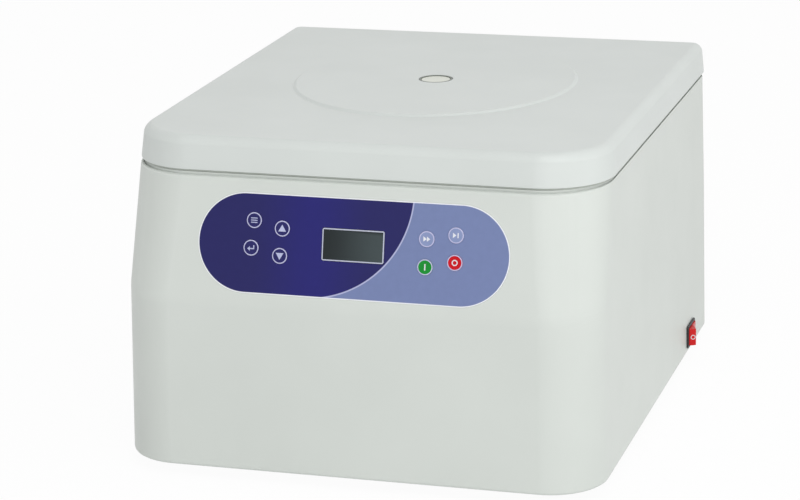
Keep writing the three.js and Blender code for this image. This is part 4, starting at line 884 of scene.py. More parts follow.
display = {
    "frame": (190, 194, 212),
    "glass": (67, 77, 79),
    # painted shade: the colour the pane is painted where the recess would shade it
    "shade": (32, 38, 40),
    "frameWidth": 1.2,
    "blur": 0.1,
    "paintedShadeDepth": 5,           # painted shade: the pane's upper edge is painted darker this far down, where the recess would shade it
    "paintedShadeLevel": 0.9,
    "roughness": 0.22,
    "gap": 0.3,
    "corner": 1.4,
    "low": -1.1,
    "proud": 0.2,
    "ease": 0.15,
}


def displayGlass():
    material, tree, shader, place = newMaterial("displayWindowGlass")
    x, y = panelPosition(tree, place, *windowCentre)
    halfWidth, halfHeight = (size / 2 for size in windowSize)
    frameEdge, blur = -display["frameWidth"], display["blur"]
    nearEdge = mathNode(tree, "MAXIMUM", beyondNode(tree, x, halfWidth), beyondNode(tree, y, halfHeight))
    onFrame = spreadNode(tree, nearEdge, frameEdge - blur, frameEdge + blur)
    # painted shade: the pane is painted darker towards its left side and its upper edge, where the recess
    # would shade them
    left = spreadNode(tree, x, -halfWidth, halfWidth, display["paintedShadeLevel"], 0, "SMOOTHSTEP")
    top = spreadNode(tree, y, halfHeight - display["paintedShadeDepth"], halfHeight, 0, 1, "SMOOTHSTEP")
    drift = mathNode(tree, "MULTIPLY", noiseNode(tree, place, 60), 0.1)
    paintedShade = mathNode(tree, "ADD", mathNode(tree, "MAXIMUM", left, top), drift)
    glass = mixNode(tree, paintedShade, linear(*display["glass"]), linear(*display["shade"]))
    fillSockets(tree, shader, {
        "Base Color": mixNode(tree, onFrame, glass, linear(*display["frame"])),
        "Roughness": display["roughness"],
        "Specular IOR Level": filmGloss["specular"],
    })
    return material


pane = roundPlate(*(size - 2 * display["gap"] for size in windowSize), display["low"], display["proud"],
                  display["corner"], windowCentre)
turnPiece(easeEdges(pane, display["ease"]), panelPlace)
finishPiece(pane, "displayWindow", "housing", "display", ["display_window"], displayGlass())

keyCap = {"radius": 6.0, "ringRadius": 5.15, "proud": 0.7, "back": -0.6, "stemRadius": 2.2, "stemEnd": -4.7,
          "round": 0.3, "signRise": 0.06}
sign = {"arrowHalf": 3.1, "arrowBase": 2.2, "arrowTip": 3.0, "lineLength": 5.2, "lineWidth": 0.7,
        "linePitch": 1.65, "pointer": 2.6, "pointerHalf": 1.9, "endBar": 0.8, "startBar": 0.9,
        "startHalf": 2.4, "ring": (1.5, 2.3)}


def bar(x, y, width, halfHeight):
    return [(x - width / 2, y - halfHeight), (x + width / 2, y - halfHeight),
            (x + width / 2, y + halfHeight), (x - width / 2, y + halfHeight)]


def pointer(x):
    return [(x, -sign["pointerHalf"]), (x + sign["pointer"], 0), (x, sign["pointerHalf"])]


def arrow(way):
    return [(-sign["arrowHalf"], -way * sign["arrowBase"]), (sign["arrowHalf"], -way * sign["arrowBase"]),
            (0, way * sign["arrowTip"])]


# generic signs: the outlines of each, in millimetres from the key's middle
signOutlines = {
    "key_up": [arrow(1)],
    "key_down": [arrow(-1)],
    "key_set": [bar(0, line * sign["linePitch"], sign["lineLength"], sign["lineWidth"] / 2)
                for line in (-1, 0, 1)],
    "key_enter": [[(-2.9, -0.6), (-0.9, -2.4), (-0.9, -1.0), (2.6, -1.0), (2.6, 2.0), (1.8, 2.0),
                   (1.8, -0.2), (-0.9, -0.2), (-0.9, 1.2)]],
    "key_force": [pointer(-2.5), pointer(0.2)],
    "key_short": [pointer(-2.3), bar(1.6, 0, sign["endBar"], sign["pointerHalf"])],
    "key_start": [bar(0, 0, sign["startBar"], sign["startHalf"])],
    "key_stop": [],
}
top, radius, soft = keyCap["proud"], keyCap["radius"], keyCap["round"]
capProfile = [
    (0, keyCap["stemEnd"]), (keyCap["stemRadius"], keyCap["stemEnd"]), (keyCap["stemRadius"], keyCap["back"]),
    (radius, keyCap["back"]), *arcPoints(radius - soft, top - soft, soft, 0, rightAngle, 3),
    (keyCap["ringRadius"], top), (0, top),
]
for key in keys:
    cap = spinProfile(capProfile, 48)
    cap.data.materials.append(finishes[key["finish"]])
    cap.data.materials.append(ringWhite)
    pick(cap)
    bpy.ops.object.mode_set(mode="EDIT")
    ringFrom = keyCap["ringRadius"] - 0.1
    choose("FACE", lambda f: f.normal.z > 0.3 and f.calc_center_median().xy.length > ringFrom)
    cap.active_material_index = 1
    bpy.ops.object.material_slot_assign()
    bpy.ops.object.mode_set(mode="OBJECT")
    signs = [drawOutline(points, keyCap["signRise"]) for points in signOutlines[key["node"]]]
    if not signs:
        signs = [ringPlate(*sign["ring"], keyCap["signRise"])]
    for piece in signs:
        turnPiece(piece, move(0, 0, top - hair))
        piece.data.materials.append(signPale if key["finish"] == "key_blue" else signWhite)
    turnPiece(joinLoose([cap, *signs]), panelPlace @ move(*key["place"], 0))
    finishPiece(cap, key["node"], key["body"], key["finish"], [key["node"]])
print("panel made")


# Power switch on the right-hand side: X to the back, Y up and Z out of the wall

sidePlace = (move(half, depth - rocker["toBack"], rocker["height"])
             @ rotate(rightAngle, "Z") @ rotate(rightAngle, "X"))
bezelTop, body = rocker["standOff"] + rocker["bezelProud"], rocker["bodyDepth"]
startOutline(rocker["bezelLength"] / 2, -rocker["bezelHeight"] / 2, rocker["bezelHeight"] / 2,
             rocker["bezelCorner"], rocker["bezelCorner"], rocker["standOff"], 6, 6)
riseTo(bezelTop)
choose("EDGE", atHeight(bezelTop))
bpy.ops.mesh.bevel(offset=rocker["bezelRound"], segments=3)
bezel = makeOutward()
joinWith(bezel, block((openLength, openHeight, body + 1), (0, 0, (1 - body) / 2)))
wellLength, wellHeight = openLength - 2 * rocker["bodyWall"], openHeight - 2 * rocker["bodyWall"]
wellMiddle = rocker["bodyWall"] + past - body / 2
cutWith(bezel, block((wellLength, wellHeight, body + 2 * past), (0, 0, wellMiddle)))
pinReach = wellHeight / 2 + 0.2
pivotPin = rod(rocker["pin"], -pinReach, pinReach, steps=16)
joinWith(bezel, turnPiece(pivotPin, move(0, 0, rocker["pivotOut"]) @ rotate(rightAngle, "X")))
turnPiece(bezel, sidePlace)
finishPiece(bezel, "switchBezel", "housing", "black_plastic", ["switch_bezel"])

tipRadius = openLength / 2 - rocker["bodyWall"] - rocker["play"]
tipAngle, bendAngle = math.radians(rocker["endAngle"]), math.radians(rocker["bend"])
vertexOut = tipRadius * (math.sin(tipAngle) - math.cos(tipAngle) * math.tan(bendAngle))
rockerOutline = [
    (0, vertexOut),
    *arcPoints(0, 0, tipRadius, math.pi - tipAngle, math.pi, 5),
    *arcPoints(0, 0, rocker["hub"], math.pi, math.tau, 8),
    *arcPoints(0, 0, tipRadius, 0, tipAngle, 5),
]
rockerWidth = wellHeight - 2 * rocker["play"]
rockerCap = drawOutline(rockerOutline, rockerWidth)
turnPiece(rockerCap, move(0, 0, -rockerWidth / 2))
cutWith(rockerCap, rod(rocker["pinBore"], -rockerWidth, rockerWidth, steps=24))
easeEdges(rockerCap, rocker["ease"], 3)
rockerCap.data.materials.append(finishes["red_plastic"])
rockerSign = {"ring": (1.7, 2.5), "rise": 0.05, "along": 7.6, "endRing": (1.5, 2.1), "endRise": 0.35,
              "endTurn": 164}
mark = ringPlate(*rockerSign["ring"], rockerSign["rise"])
turnPiece(mark, move(rockerSign["along"], vertexOut + rockerSign["along"] * math.tan(bendAngle) - hair, 0)
          @ rotate(bendAngle, "Z") @ rotate(-rightAngle, "X"))
endMark = ringPlate(*rockerSign["endRing"], rockerSign["endRise"])
turnPiece(endMark, rotate(math.radians(rockerSign["endTurn"]), "Z") @ move(tipRadius - 0.3, 0, 0)
          @ rotate(rightAngle, "Y"))
for piece in (mark, endMark):
    piece.data.materials.append(signWhite)
turnPiece(joinLoose([rockerCap, mark, endMark]), sidePlace @ move(0, 0, rocker["pivotOut"])
          @ rotate(rightAngle, "X") @ rotate(-bendAngle, "Z"))
finishPiece(rockerCap, "switchRocker", "power_rocker", "red_plastic", ["switch_rocker"])
print("switch made")


# Back of the machine: X to the viewer's left, Y up and Z out of the wall

backPlace = move(0, depth, 0) @ rotate(math.pi, "Z") @ rotate(rightAngle, "X")
rear = {
    "ventCount": 14, "ventWidth": 3, "ventHeight": 46, "ventPitch": 8, "ventAcross": 70, "ventUp": 127.5,
    "fanAcross": -85, "fanUp": 69.5, "fanBore": 37.5, "grillePitch": 6.4, "grilleWidth": 3,
    "inletAcross": 112, "inletUp": 49.5, "inletHole": (27.6, 20.6), "fuseAcross": 70, "fuseUp": 49.5,
    "fuseHole": 6.3, "screwIn": 7, "ease": 0.3,
}
rearSize = (rearPanel["width"], rearPanel["height"])
sheet = roundPlate(*rearSize, -rearPanel["thickness"], 0, rearPanel["round"], (0, middleUp))


def rearSlot(width, height, radius, at=(0, 0)):
    return roundPlate(width, height, -3 * past, farPast, radius, at)


def acrossRow(count, pitch):
    return [(i - (count - 1) / 2) * pitch for i in range(count)]


vent = rearSlot(rear["ventWidth"], rear["ventHeight"], rear["ventWidth"] / 2 - hair)
vents = arrange(vent, [move(off - rear["ventAcross"], rear["ventUp"], 0)
                       for off in acrossRow(rear["ventCount"], rear["ventPitch"])])
grille = []
for off in acrossRow(int(2 * rear["fanBore"] / rear["grillePitch"]), rear["grillePitch"]):
    length = 2 * math.sqrt(rear["fanBore"] ** 2 - (abs(off) + rear["grilleWidth"] / 2) ** 2)
    grille.append(rearSlot(rear["grilleWidth"], length, rear["grilleWidth"] / 2 - hair,
                           (off - rear["fanAcross"], rear["fanUp"])))
socketHole = rearSlot(*rear["inletHole"], 1, (-rear["inletAcross"], rear["inletUp"]))
fuseHole = rod(rear["fuseHole"], -3 * past, farPast, (-rear["fuseAcross"], rear["fuseUp"], 0), 32)
cutWith(sheet, vents, joinLoose(grille), socketHole, fuseHole)
turnPiece(easeEdges(sheet, rear["ease"]), backPlace)
finishPiece(sheet, "rearPanel", "housing", "black_plastic", ["rear_panel"])

screwHead = {"radius": 2.6, "sink": 0.3, "edge": 0.4, "dome": 0.9, "slotLength": 3.2, "slotWidth": 0.6,
             "slotDepth": 0.7}


def screw():
    wide, dome = screwHead["radius"], screwHead["dome"]
    rise = screwHead["edge"] + dome
    head = spinProfile([(0, -screwHead["sink"]), (wide, -screwHead["sink"]), (wide, screwHead["edge"]),
                        *arcPoints(wide - dome, screwHead["edge"], dome, 0, rightAngle, 4), (0, rise)], 24)
    for turn in (0, rightAngle):
        slot = block((screwHead["slotLength"], screwHead["slotWidth"], 2 * screwHead["slotDepth"]),
                     (0, 0, rise))
        cutWith(head, turnPiece(slot, rotate(turn, "Z")))
    return head


cornerX, cornerY = (size / 2 - rear["screwIn"] for size in rearSize)
corners = [move(x, middleUp + y, 0) for x in (-cornerX, cornerX) for y in (-cornerY, cornerY)]
finishPiece(turnPiece(arrange(screw(), corners), backPlace), "rearScrews", "housing", "steel")

inlet = {
    "width": 27, "height": 20, "rim": 4, "face": 2.8, "standOff": 0.3, "back": -26, "joint": 0.9,
    "corner": 2.5, "bodyCorner": 1, "ease": 0.5, "cavity": 17, "halfWidth": 12, "halfHeight": 8.2,
    "chamfer": 4,
    "blade": (2, 4, 11), "bladeEase": 0.4, "bladePitch": 7, "earthUp": 1.5,
}
socket = roundPlate(inlet["width"] + 2 * inlet["rim"], inlet["height"] + 2 * inlet["rim"], inlet["standOff"],
                    inlet["face"], inlet["corner"])
easeEdges(socket, inlet["ease"])
joinWith(socket, roundPlate(inlet["width"], inlet["height"], inlet["back"], inlet["joint"],
                            inlet["bodyCorner"]))
wide, tall, corner = inlet["halfWidth"], inlet["halfHeight"], inlet["chamfer"]
cavityLow = inlet["face"] - inlet["cavity"]
cavity = drawOutline([(-wide, -tall), (wide, -tall), (wide, tall - corner), (wide - corner, tall),
                      (corner - wide, tall), (-wide, tall - corner)], inlet["cavity"] + past)
cutWith(socket, turnPiece(cavity, move(0, 0, cavityLow)))
inletPlace = backPlace @ move(-rear["inletAcross"], rear["inletUp"], 0)
turnPiece(socket, inletPlace)
finishPiece(socket, "inletSocket", "housing", "black_plastic", ["power_inlet"])
blades = []
for side in (-1, 0, 1):
    up = -inlet["earthUp"] if side else inlet["earthUp"]
    bladePlace = (side * inlet["bladePitch"], up, cavityLow + inlet["blade"][2] / 2)
    blades.append(block(inlet["blade"], bladePlace, inlet["bladeEase"]))
finishPiece(turnPiece(joinLoose(blades), inletPlace), "inletBlades", "housing", "steel")

fuse = {"body": 6, "back": -26, "standOff": 0.3, "flange": 8, "flangeTop": 1.6, "step": 0.5, "stepTop": 2,
        "cap": 7.3, "round": 0.8, "flutes": 16, "flute": 0.9, "fluteLow": 2.6, "slot": (9, 1.5, 3)}
holder = spinProfile(
    [(0, fuse["back"]), (fuse["body"], fuse["back"]), (fuse["body"], fuse["standOff"]),
     (fuse["flange"], fuse["standOff"]), (fuse["flange"], fuse["flangeTop"]),
     (fuse["flange"] - fuse["step"], fuse["stepTop"]), (fuse["cap"], fuse["cap"] - fuse["round"]),
     *arcPoints(fuse["cap"] - fuse["round"], fuse["cap"] - fuse["round"], fuse["round"], 0, rightAngle, 4),
     (0, fuse["cap"])], 64)
cutWith(holder, flutes(fuse["flutes"], fuse["flute"], fuse["flange"], fuse["fluteLow"], fuse["cap"] + past),
        block(fuse["slot"], (0, 0, fuse["cap"])))
turnPiece(holder, backPlace @ move(-rear["fuseAcross"], rear["fuseUp"], 0))
finishPiece(holder, "fuseCap", "housing", "black_plastic", ["fuse_holder"])
print("rear made")


# Hinges: each has a leaf on the back wall, a leaf on the lid's back, and a pin with two heads

hinge = {"across": 120, "width": 46, "knuckle": 4.5, "y": 446.0, "z": 236.3, "face": 0.3, "leaf": 2,
         "bodyLeaf": 32, "lidLeaf": 14, "clear": 5.2, "gap": 0.35, "pin": 2.2, "bore": 2.5, "pinPast": 0.8,
         "head": 3.3, "headGap": 0.3, "headHeight": 1, "ease": 0.25, "barrelEase": 0.4,
         "bodyScrews": ((0.18, 12), (0.82, 12), (0.5, 25)),     # shares of the width, drops below the pin
         "lidScrewShares": (0.14, 0.5, 0.86), "lidScrewRise": 4.4}


def barrel(radius, start, length, ease=hinge["barrelEase"]):
    tube = spinProfile([(0, 0), (radius - ease, 0), (radius, ease), (radius, length - ease),
                        (radius - ease, length), (0, length)], 40)
    return turnPiece(tube, move(start, hinge["y"], hinge["z"]) @ rotate(rightAngle, "Y"))


def leafTab(start, width, low, height):
    middle = depth + hinge["face"] + hinge["leaf"] / 2
    return block((width, hinge["leaf"], height), (start + width / 2, middle, low + height / 2))


def finishLeaf(leaf, bore, screwPlaces, name, side, body):
    # bores a leaf for the pin, and finishes it with its screws
    easeEdges(cutWith(leaf, bore), hinge["ease"])
    finishPiece(leaf, name + "Leaf" + side, body, "steel", ["hinge_leaf_%s_%s" % (name, side.lower())])
    screws = arrange(screw(), [move(-x, z, hinge["face"] + hinge["leaf"]) for x, z in screwPlaces])
    finishPiece(turnPiece(screws, backPlace), name + "LeafScrews" + side, body, "steel")


width, knuckle, clear, pinZ = hinge["width"], hinge["knuckle"], hinge["clear"], hinge["z"]
third = width / 3
tab = third - hinge["gap"]
for hand, side in ((-1, "Left"), (1, "Right")):
    start = hand * hinge["across"] - width / 2
    end = start + width - tab
    boreLine = (hinge["bore"], start - past, width + 2 * past, 0)
    bodyLeaf = leafTab(start, width, pinZ - hinge["bodyLeaf"], hinge["bodyLeaf"] - clear)
    joinWith(bodyLeaf, leafTab(start, tab, pinZ - clear - 1, clear + 1),
             leafTab(end, tab, pinZ - clear - 1, clear + 1),
             barrel(knuckle, start, tab), barrel(knuckle, end, tab))
    bodyScrews = [(start + share * width, pinZ - drop) for share, drop in hinge["bodyScrews"]]
    finishLeaf(bodyLeaf, barrel(*boreLine), bodyScrews, "body", side, "housing")

    lidLeaf = leafTab(start, width, pinZ + clear, hinge["lidLeaf"] - clear)
    joinWith(lidLeaf, leafTab(start + third, third, pinZ, clear + 1), barrel(knuckle, start + third, third))
    screwLine = pinZ + clear + hinge["lidScrewRise"]
    lidScrews = [(start + share * width, screwLine) for share in hinge["lidScrewShares"]]
    finishLeaf(lidLeaf, barrel(*boreLine), lidScrews, "lid", side, "lid")

    pin = barrel(hinge["pin"], start - hinge["pinPast"], width + 2 * hinge["pinPast"])
    for headStart in (start - hinge["headGap"] - hinge["headHeight"], start + width + hinge["headGap"]):
        joinWith(pin, barrel(hinge["head"], headStart, hinge["headHeight"]))
    finishPiece(pin, "hingePin" + side, "housing", "steel", ["hinge_pin_" + side.lower()])
print("hinges made")


# Feet: rubber pads with a screw recess below

foot = {
    "across": 138,
    "places": {"front": 52, "rear": 388},
    "radius": 17,
    "round": 1.5,
    "profile": [(0, 3), (5.4, 3), (6, 2.4), (6, 0.5), (6.5, 0), (15.2, 0)],     # the recess and the sole
    "upper": [(15.8, 5.6), (15.3, 6), (15.6, 6.4), (15.1, 8.7), (14.6, 9.2), (4, 9.2), (4, 13.5), (0, 13.5)],
}
soleEdge = arcPoints(foot["radius"] - foot["round"], foot["round"], foot["round"], -rightAngle, 0, 4)[1:]
for row, y in foot["places"].items():
    for hand, side in ((-1, "left"), (1, "right")):
        pad = spinProfile([*foot["profile"], *soleEdge, *foot["upper"]], 64, (hand * foot["across"], y, 0))
        finishPiece(pad, "foot" + row + side + "Pad", "housing", "rubber", ["foot_%s_%s" % (row, side)])
print("feet made")


# Chamber: pressed bowl, seal on its flange and boot round the shaft, all spun about the rotor's axis

def spunFinish(name, low, high, roughness):
    # fine rings round the rotor's axis, as a lathe leaves them
    material, tree, shader, place = newMaterial(name)
    x, y, z = aroundPlace(tree, place, Matrix.Translation(toFrame @ Vector(axisPlace)), (1, 1, 1))
    rings = addNode(tree, "CombineXYZ", {"X": distanceNode(tree, x, y), "Y": z})
    grain = noiseNode(tree, rings.outputs["Vector"], 1400)
    drift = noiseNode(tree, place, 14)
    halves = [mathNode(tree, "MULTIPLY", value, 0.5) for value in (grain, drift)]
    tone = mathNode(tree, "ADD", *halves)
    fillSockets(tree, shader, {
        "Base Color": mixNode(tree, spreadNode(tree, tone, 0.35, 0.65), linear(*low), linear(*high)),
        "Roughness": spreadNode(tree, grain, 0.3, 0.7, roughness - 0.05, roughness + 0.07),
        "Metallic": 1.0,
        "Normal": bumpNode(tree, grain, 0.15, 0.0001),
    })
    return material


spunSteel = spunFinish("spunSteel", (176, 178, 180), (200, 202, 204), 0.27)
spunAluminium = spunFinish("turnedAluminium", (186, 188, 190), (208, 210, 212), 0.3)
chamber = {"radius": 155, "wall": 1.5, "flange": 164.5, "flangeTop": 237.3, "floor": 109.6, "corner": 20,
           "neck": 20, "neckHeight": 12, "mouthRound": 1.2, "gap": 0.3}
inner, wall, corner, soft = chamber["radius"], chamber["wall"], chamber["corner"], chamber["mouthRound"]
flange, flangeTop, floorZ = chamber["flange"], chamber["flangeTop"], chamber["floor"]
neck, neckTop, cornerZ = chamber["neck"], floorZ + chamber["neckHeight"], floorZ + corner
bowl = spinProfile(
    [(flange, flangeTop),
     *arcPoints(inner + soft, flangeTop - soft, soft, rightAngle, 2 * rightAngle, 4),
     *arcPoints(inner - corner, cornerZ, corner, 0, -rightAngle, 10),
     (neck + 2 * wall, floorZ), (neck + wall, floorZ + wall), (neck + wall, neckTop), (neck, neckTop),
     (neck, floorZ - wall),
     *arcPoints(inner - corner, cornerZ, corner + wall, -rightAngle, 0, 10),
     (inner + wall, flangeTop - wall), (flange, flangeTop - wall), (flange, flangeTop)], 192, axisPlace)
finishPiece(bowl, "chamberBowl", "housing", "steel", ["chamber_bowl"], spunSteel)

seal = {"middle": 159, "half": 3, "shoulder": 1.6, "crown": 3.2, "ease": 0.3}
sealLow, ease = flangeTop + chamber["gap"], seal["ease"]
sealIn, sealOut = seal["middle"] - seal["half"], seal["middle"] + seal["half"]
sealTop = sealLow + seal["crown"]
sealRing = spinProfile(
    [(sealIn + ease, sealLow), (sealOut - ease, sealLow), (sealOut, sealLow + ease),
     (sealOut, sealLow + seal["shoulder"]), (seal["middle"] + 2 * ease, sealTop - ease),
     (seal["middle"], sealTop), (seal["middle"] - 2 * ease, sealTop - ease),
     (sealIn, sealLow + seal["shoulder"]), (sealIn, sealLow + ease), (sealIn + ease, sealLow)],
    192, axisPlace)
finishPiece(sealRing, "bowlSeal", "housing", "rubber", ["bowl_seal"])

boot = {"bore": 8, "wall": 2, "drop": 9, "rim": 24, "grooveOut": 19, "grooveIn": 12.5, "grooveSlope": 1.5,
        "grooveDepth": 1, "ease": 0.3}
bootOut, seat, ease = neck - chamber["gap"], neckTop + chamber["gap"], boot["ease"]
bootTop, bootIn = seat + boot["wall"], bootOut - boot["wall"]
grooveLow = bootTop - boot["grooveDepth"]
bootRing = spinProfile(
    [(boot["bore"], bootTop - ease), (boot["bore"], seat), (bootIn, seat - boot["wall"]),
     (bootIn, seat - boot["drop"]), (bootOut, seat - boot["drop"]), (bootOut, seat), (boot["rim"], seat),
     (boot["rim"], bootTop - 2 * ease), (boot["rim"] - 2 * ease, bootTop), (boot["grooveOut"], bootTop),
     (boot["grooveOut"] - boot["grooveSlope"], grooveLow),
     (boot["grooveIn"] + boot["grooveSlope"], grooveLow),
     (boot["grooveIn"], bootTop), (boot["bore"] + ease, bootTop), (boot["bore"], bootTop - ease)],
    96, axisPlace)
finishPiece(bootRing, "shaftBoot", "housing", "rubber", ["shaft_boot"])
print("chamber made")


# Rotor: shaft, head with four notches, domed nut and four buckets

rotor = {
    "radius": 84, "low": 193.6, "high": 208.6, "edge": 1.5, "hub": 22, "hubLow": 181.6, "hubHigh": 214.6,
    "hubEase": 1, "hubTopEase": 1.2, "bore": 6.3, "notchHalf": 22.5, "notchEnd": 38, "notchRound": 6,
    "pinLine": 205.6, "pinRadial": 62, "groove": 4.4, "grip": 31.5, "hole": 7, "ringOut": 30, "ringIn": 28,
    "ringSlope": 0.6, "ringDepth": 0.5, "ease": 0.5,
}
shaft = {"low": 42.7, "radius": 6, "collar": 9, "collarTop": 181.3, "stud": 4, "top": 223.6, "ease": 0.4}
cone, shaftRadius, shaftTop = shaft["collar"] - shaft["radius"], shaft["radius"], shaft["top"]
driveShaft = spinProfile(
    [(0, shaft["low"]), (shaftRadius, shaft["low"]), (shaftRadius, shaft["collarTop"] - 2 * cone),
     (shaft["collar"], shaft["collarTop"] - cone), (shaft["collar"], shaft["collarTop"]),
     (shaftRadius, shaft["collarTop"]), (shaftRadius, rotor["hubHigh"]), (shaft["stud"], rotor["hubHigh"]),
     (shaft["stud"], shaftTop - shaft["ease"]), (shaft["stud"] - shaft["ease"], shaftTop), (0, shaftTop)],
    48, axisPlace)
finishPiece(driveShaft, "driveShaft", "rotor", "steel", ["drive_shaft"], spunSteel)

edge, low, high, ringLow = rotor["edge"], rotor["low"], rotor["high"], rotor["high"] - rotor["ringDepth"]
head = spinProfile(
    [(0, low), *arcPoints(rotor["radius"] - edge, low + edge, edge, -rightAngle, 0, 3),
     *arcPoints(rotor["radius"] - edge, high - edge, edge, 0, rightAngle, 3), (rotor["ringOut"], high),
     (rotor["ringOut"] - rotor["ringSlope"], ringLow), (rotor["ringIn"] + rotor["ringSlope"], ringLow),
     (rotor["ringIn"], high), (0, high)], 128)
hub, hubLow, hubHigh, ease, topEase = (rotor["hub"], rotor["hubLow"], rotor["hubHigh"], rotor["hubEase"],
                                       rotor["hubTopEase"])
joinWith(head, spinProfile(
    [(0, hubLow), (hub - ease, hubLow), (hub, hubLow + ease), (hub, hubHigh - topEase),
     (hub - topEase, hubHigh), (0, hubHigh)], 96))
notchIn, notchEnd = rotor["notchHalf"] - rotor["notchRound"], rotor["notchEnd"] + rotor["notchRound"]
notchOut = rotor["radius"] + 2 * past
for turn in turnsRound(4):
    spot = rotate(turn, "Z")
    notch = drawOutline(
        [(notchOut, -rotor["notchHalf"]), (notchOut, rotor["notchHalf"]),
         *arcPoints(notchEnd, notchIn, rotor["notchRound"], rightAngle, 2 * rightAngle, 6),
         *arcPoints(notchEnd, -notchIn, rotor["notchRound"], 2 * rightAngle, 3 * rightAngle, 6)],
        high - low + 2 * past)
    channel = rod(rotor["groove"], -rotor["grip"], rotor["grip"], steps=32)
    turnPiece(channel, rotate(rightAngle, "X"))
    joinWith(channel, block((2 * rotor["groove"], 2 * rotor["grip"], 4 * past), (0, 0, 2 * past)))
    hole = rod(rotor["hole"], low - past, high + past, (rotor["pinRadial"], 0, 0), 40)
    cutWith(head, turnPiece(notch, spot @ move(0, 0, low - past)),
            turnPiece(channel, spot @ move(rotor["pinRadial"], 0, rotor["pinLine"])),
            turnPiece(hole, rotate(rightAngle / 2, "Z") @ spot))
cutWith(head, rod(rotor["bore"], hubLow - past, hubHigh + past))
easeEdges(head, rotor["ease"], sharper=0.7)
turnPiece(head, move(*axisPlace))
finishPiece(head, "rotorHead", "rotor", "aluminium", ["rotor_head"], spunAluminium)

nut = {"radius": 11, "low": 214.9, "high": 227.9, "thread": 4.3, "threadTop": 224.5, "ease": 0.5,
       "round": 4, "flutes": 18, "flute": 1.1, "fluteOut": 11.3, "fluteTop": 222.5, "hexagon": 3.5,
       "hexagonDepth": 2.4}
wide, low, high, ease, dome = nut["radius"], nut["low"], nut["high"], nut["ease"], nut["round"]
domeNut = spinProfile(
    [(nut["thread"], low), (wide - ease, low), (wide, low + ease),
     *arcPoints(wide - dome, high - dome, dome, 0, rightAngle, 8), (0, high), (0, nut["threadTop"]),
     (nut["thread"], nut["threadTop"]), (nut["thread"], low)], 96)
hexagonPoints = [(nut["hexagon"] * math.cos(turn), nut["hexagon"] * math.sin(turn)) for turn in turnsRound(6)]
hexagon = drawOutline(hexagonPoints, nut["hexagonDepth"] + past)
cutWith(domeNut, flutes(nut["flutes"], nut["flute"], nut["fluteOut"], low - past, nut["fluteTop"]),
        turnPiece(hexagon, move(0, 0, high - nut["hexagonDepth"])))
turnPiece(domeNut, move(*axisPlace))
finishPiece(domeNut, "rotorNut", "rotor", "steel", ["rotor_nut"], spunSteel)

bucket = {
    "radius": 18,
    "round": 9,
    "wall": 2.3,
    "reach": 85,
    "mouth": 9,
    "mouthEase": 0.7,
    "collar": [(18, -7.3), (20.1, -5.2), (20.5, -4.6), (20.5, 4.7), (20.2, 5.6), (19.7, 8.2), (19, 9)],
    "pin": 4,
    "pinStart": 16.3,
    "pinEnd": 29.5,
    "pinEase": 0.6,
}
radius, soft, low, mouthZ, ease = (bucket["radius"], bucket["round"], -bucket["reach"], bucket["mouth"],
                                   bucket["mouthEase"])
inside, wall, pin, pinEnd = radius - bucket["wall"], bucket["wall"], bucket["pin"], bucket["pinEnd"]
cupProfile = [
    (0, low), *arcPoints(radius - soft, low + soft, soft, -rightAngle, 0, 8), *bucket["collar"],
    (inside + ease, mouthZ), (inside, mouthZ - ease),
    *arcPoints(radius - soft, low + soft, soft - wall, 0, -rightAngle, 6), (0, low + wall),
]
pinProfile = [
    (0, bucket["pinStart"]), (pin, bucket["pinStart"]), (pin, pinEnd - bucket["pinEase"]),
    (pin - bucket["pinEase"], pinEnd), (0, pinEnd),
]
for number, side in enumerate(("Right", "Back", "Left", "Front")):
    cup = spinProfile(cupProfile, 96)
    for hand in (-1, 1):
        joinWith(cup, turnPiece(spinProfile(pinProfile, 32), rotate(-hand * rightAngle, "X")))
    turnPiece(cup, move(*axisPlace) @ rotate(number * rightAngle, "Z")
              @ move(rotor["pinRadial"], 0, rotor["pinLine"]))
    finishPiece(cup, "bucket" + side, "bucket_" + side.lower(), "steel", ["bucket_%d" % (number + 1)])
print("rotor made")


# Lock striker and the screws under the lid

striker = {
    "y": 56, "top": 240.8, "low": 205.8, "thickness": 3, "width": 16, "ease": 0.5, "foot": (24, 26, 2),
    "footEase": 0.4, "window": (11, 12), "windowLow": 209.8, "windowRound": 1.5, "screwOut": 7.5,
    "bossIn": 24,
}
top, low, y, footRise = striker["top"], striker["low"], striker["y"], striker["foot"][2]
windowWide, windowTall = striker["window"]
blade = block((striker["thickness"], striker["width"], top - low), (0, y, (top + low) / 2), striker["ease"])
joinWith(blade, block(striker["foot"], (0, y, top - footRise / 2), striker["footEase"]))
cutWith(blade, block((4 * past, windowWide, windowTall), (0, y, striker["windowLow"] + windowTall / 2),
                     striker["windowRound"]))
finishPiece(blade, "lockStriker", "lid", "steel", ["lid_striker"])

overhead = rotate(math.pi, "X")
bossX, bossIn, screwOut = lid["half"] - striker["bossIn"], striker["bossIn"], striker["screwOut"]
rows = (lid["front"] + bossIn, (lid["front"] + depth) / 2, depth - bossIn)
spots = [(x, row, linerLow) for x in (-bossX, bossX) for row in rows]
spots += [(x, y, top - footRise) for x in (-screwOut, screwOut)]
finishPiece(arrange(screw(), [move(*spot) @ overhead for spot in spots]), "lidScrews", "lid", "steel")
print("lock and screws made")


# Camera, light and floor

camera = {
    "place": (621.105, -1923.9, 777.433),
    "turn": 16.7677,
    "tilt": 16.2307,
    "roll": -1.2098,
    "lens": 127.7,
}
lights = {
    "worldLevel": 0.6,
    "key": {"at": (0.9, -1.5, 2.2), "size": 1.6, "power": 21},
    "side": {"at": (2.4, -0.3, 1.1), "size": 1.8, "power": 10},
    "front": {"at": (0.9, -2.6, 0.55), "size": 1.6, "power": 9.4},
    "aim": (0, 0, 0.12),
}
floorLook = {"size": 40, "grey": 0.9, "roughness": 0.9, "glowShare": 0.95}

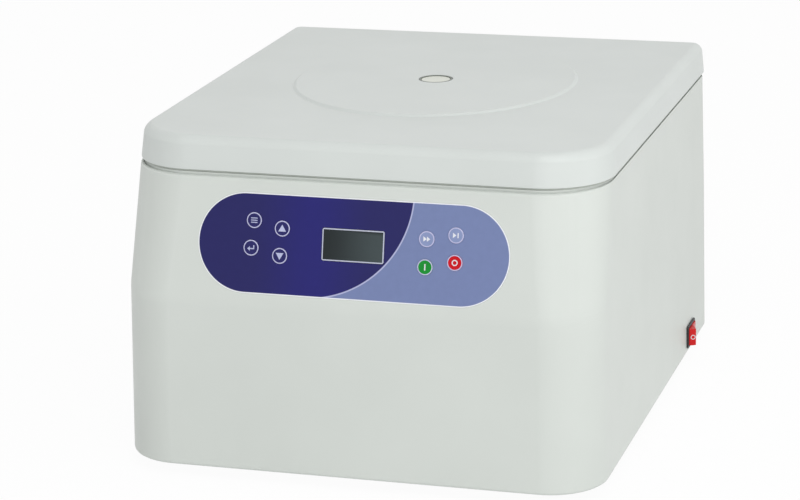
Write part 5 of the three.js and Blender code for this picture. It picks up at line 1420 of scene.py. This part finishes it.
clearSelection()
bpy.ops.object.camera_add(location=(0, 0, 0))
view = bpy.context.object
view.name = "photoCamera"
view.data.lens = camera["lens"]
view.data.sensor_width = 36
view.data.clip_end = 50
view.matrix_world = (
    Matrix.Translation(toFrame @ Vector(camera["place"])) @ rotate(math.radians(camera["turn"]), "Z")
    @ rotate(rightAngle - math.radians(camera["tilt"]), "X") @ rotate(math.radians(camera["roll"]), "Z")
)
bpy.context.scene.camera = view


def addArea(name, at, size, power):
    bpy.ops.object.light_add(type="AREA", location=at)
    lamp = bpy.context.object
    lamp.name = name
    lamp.data.size = size
    lamp.data.energy = power
    lamp.rotation_euler = (Vector(lights["aim"]) - Vector(at)).to_track_quat("-Z", "Y").to_euler()


for name in ("key", "side", "front"):
    addArea(name + "Light", **lights[name])


def seenNode(tree):
    # 1 for what the camera sees, straight or in a reflection, and 0 for the light that falls on the object
    path = tree.nodes.new("ShaderNodeLightPath").outputs
    mirrored = mathNode(tree, "MAXIMUM", path["Is Glossy Ray"], path["Is Transmission Ray"])
    return mathNode(tree, "MAXIMUM", path["Is Camera Ray"], mirrored)


world = bpy.data.worlds.new("studio")
bpy.context.scene.world = world
world.use_nodes = True
sky = world.node_tree
level = spreadNode(sky, seenNode(sky), 0, 1, lights["worldLevel"], 1.0)
fillSockets(sky, sky.nodes["Background"], {"Color": (1, 1, 1, 1), "Strength": level})

clearSelection()
bpy.ops.mesh.primitive_plane_add(size=floorLook["size"], location=(0, 0, 0))
floor = bpy.context.object
floor.name = "floor"
paper, tree, shader, place = newMaterial("paleFloor")
grey = floorLook["grey"]
fillSockets(tree, shader, {"Base Color": (grey, grey, grey, 1), "Roughness": floorLook["roughness"]})
glow = addNode(tree, "Emission", {"Color": (1, 1, 1, 1), "Strength": 1.0})
glowing = mathNode(tree, "MULTIPLY", seenNode(tree), floorLook["glowShare"])
mixer = addNode(tree, "MixShader", {"Fac": glowing, 1: shader.outputs["BSDF"], 2: glow.outputs["Emission"]})
tree.links.new(mixer.outputs["Shader"], tree.nodes["Material Output"].inputs["Surface"])
floor.data.materials.append(paper)

bpy.context.scene.view_settings.view_transform = "Standard"

# every CAD node that is still shown gets the finish of its slot
for subpart in frame["record"]["subparts"]:
    for slot in bpy.data.objects[subpart["node"]].material_slots:
        slot.material = finishes[subpart["material_slot"]]
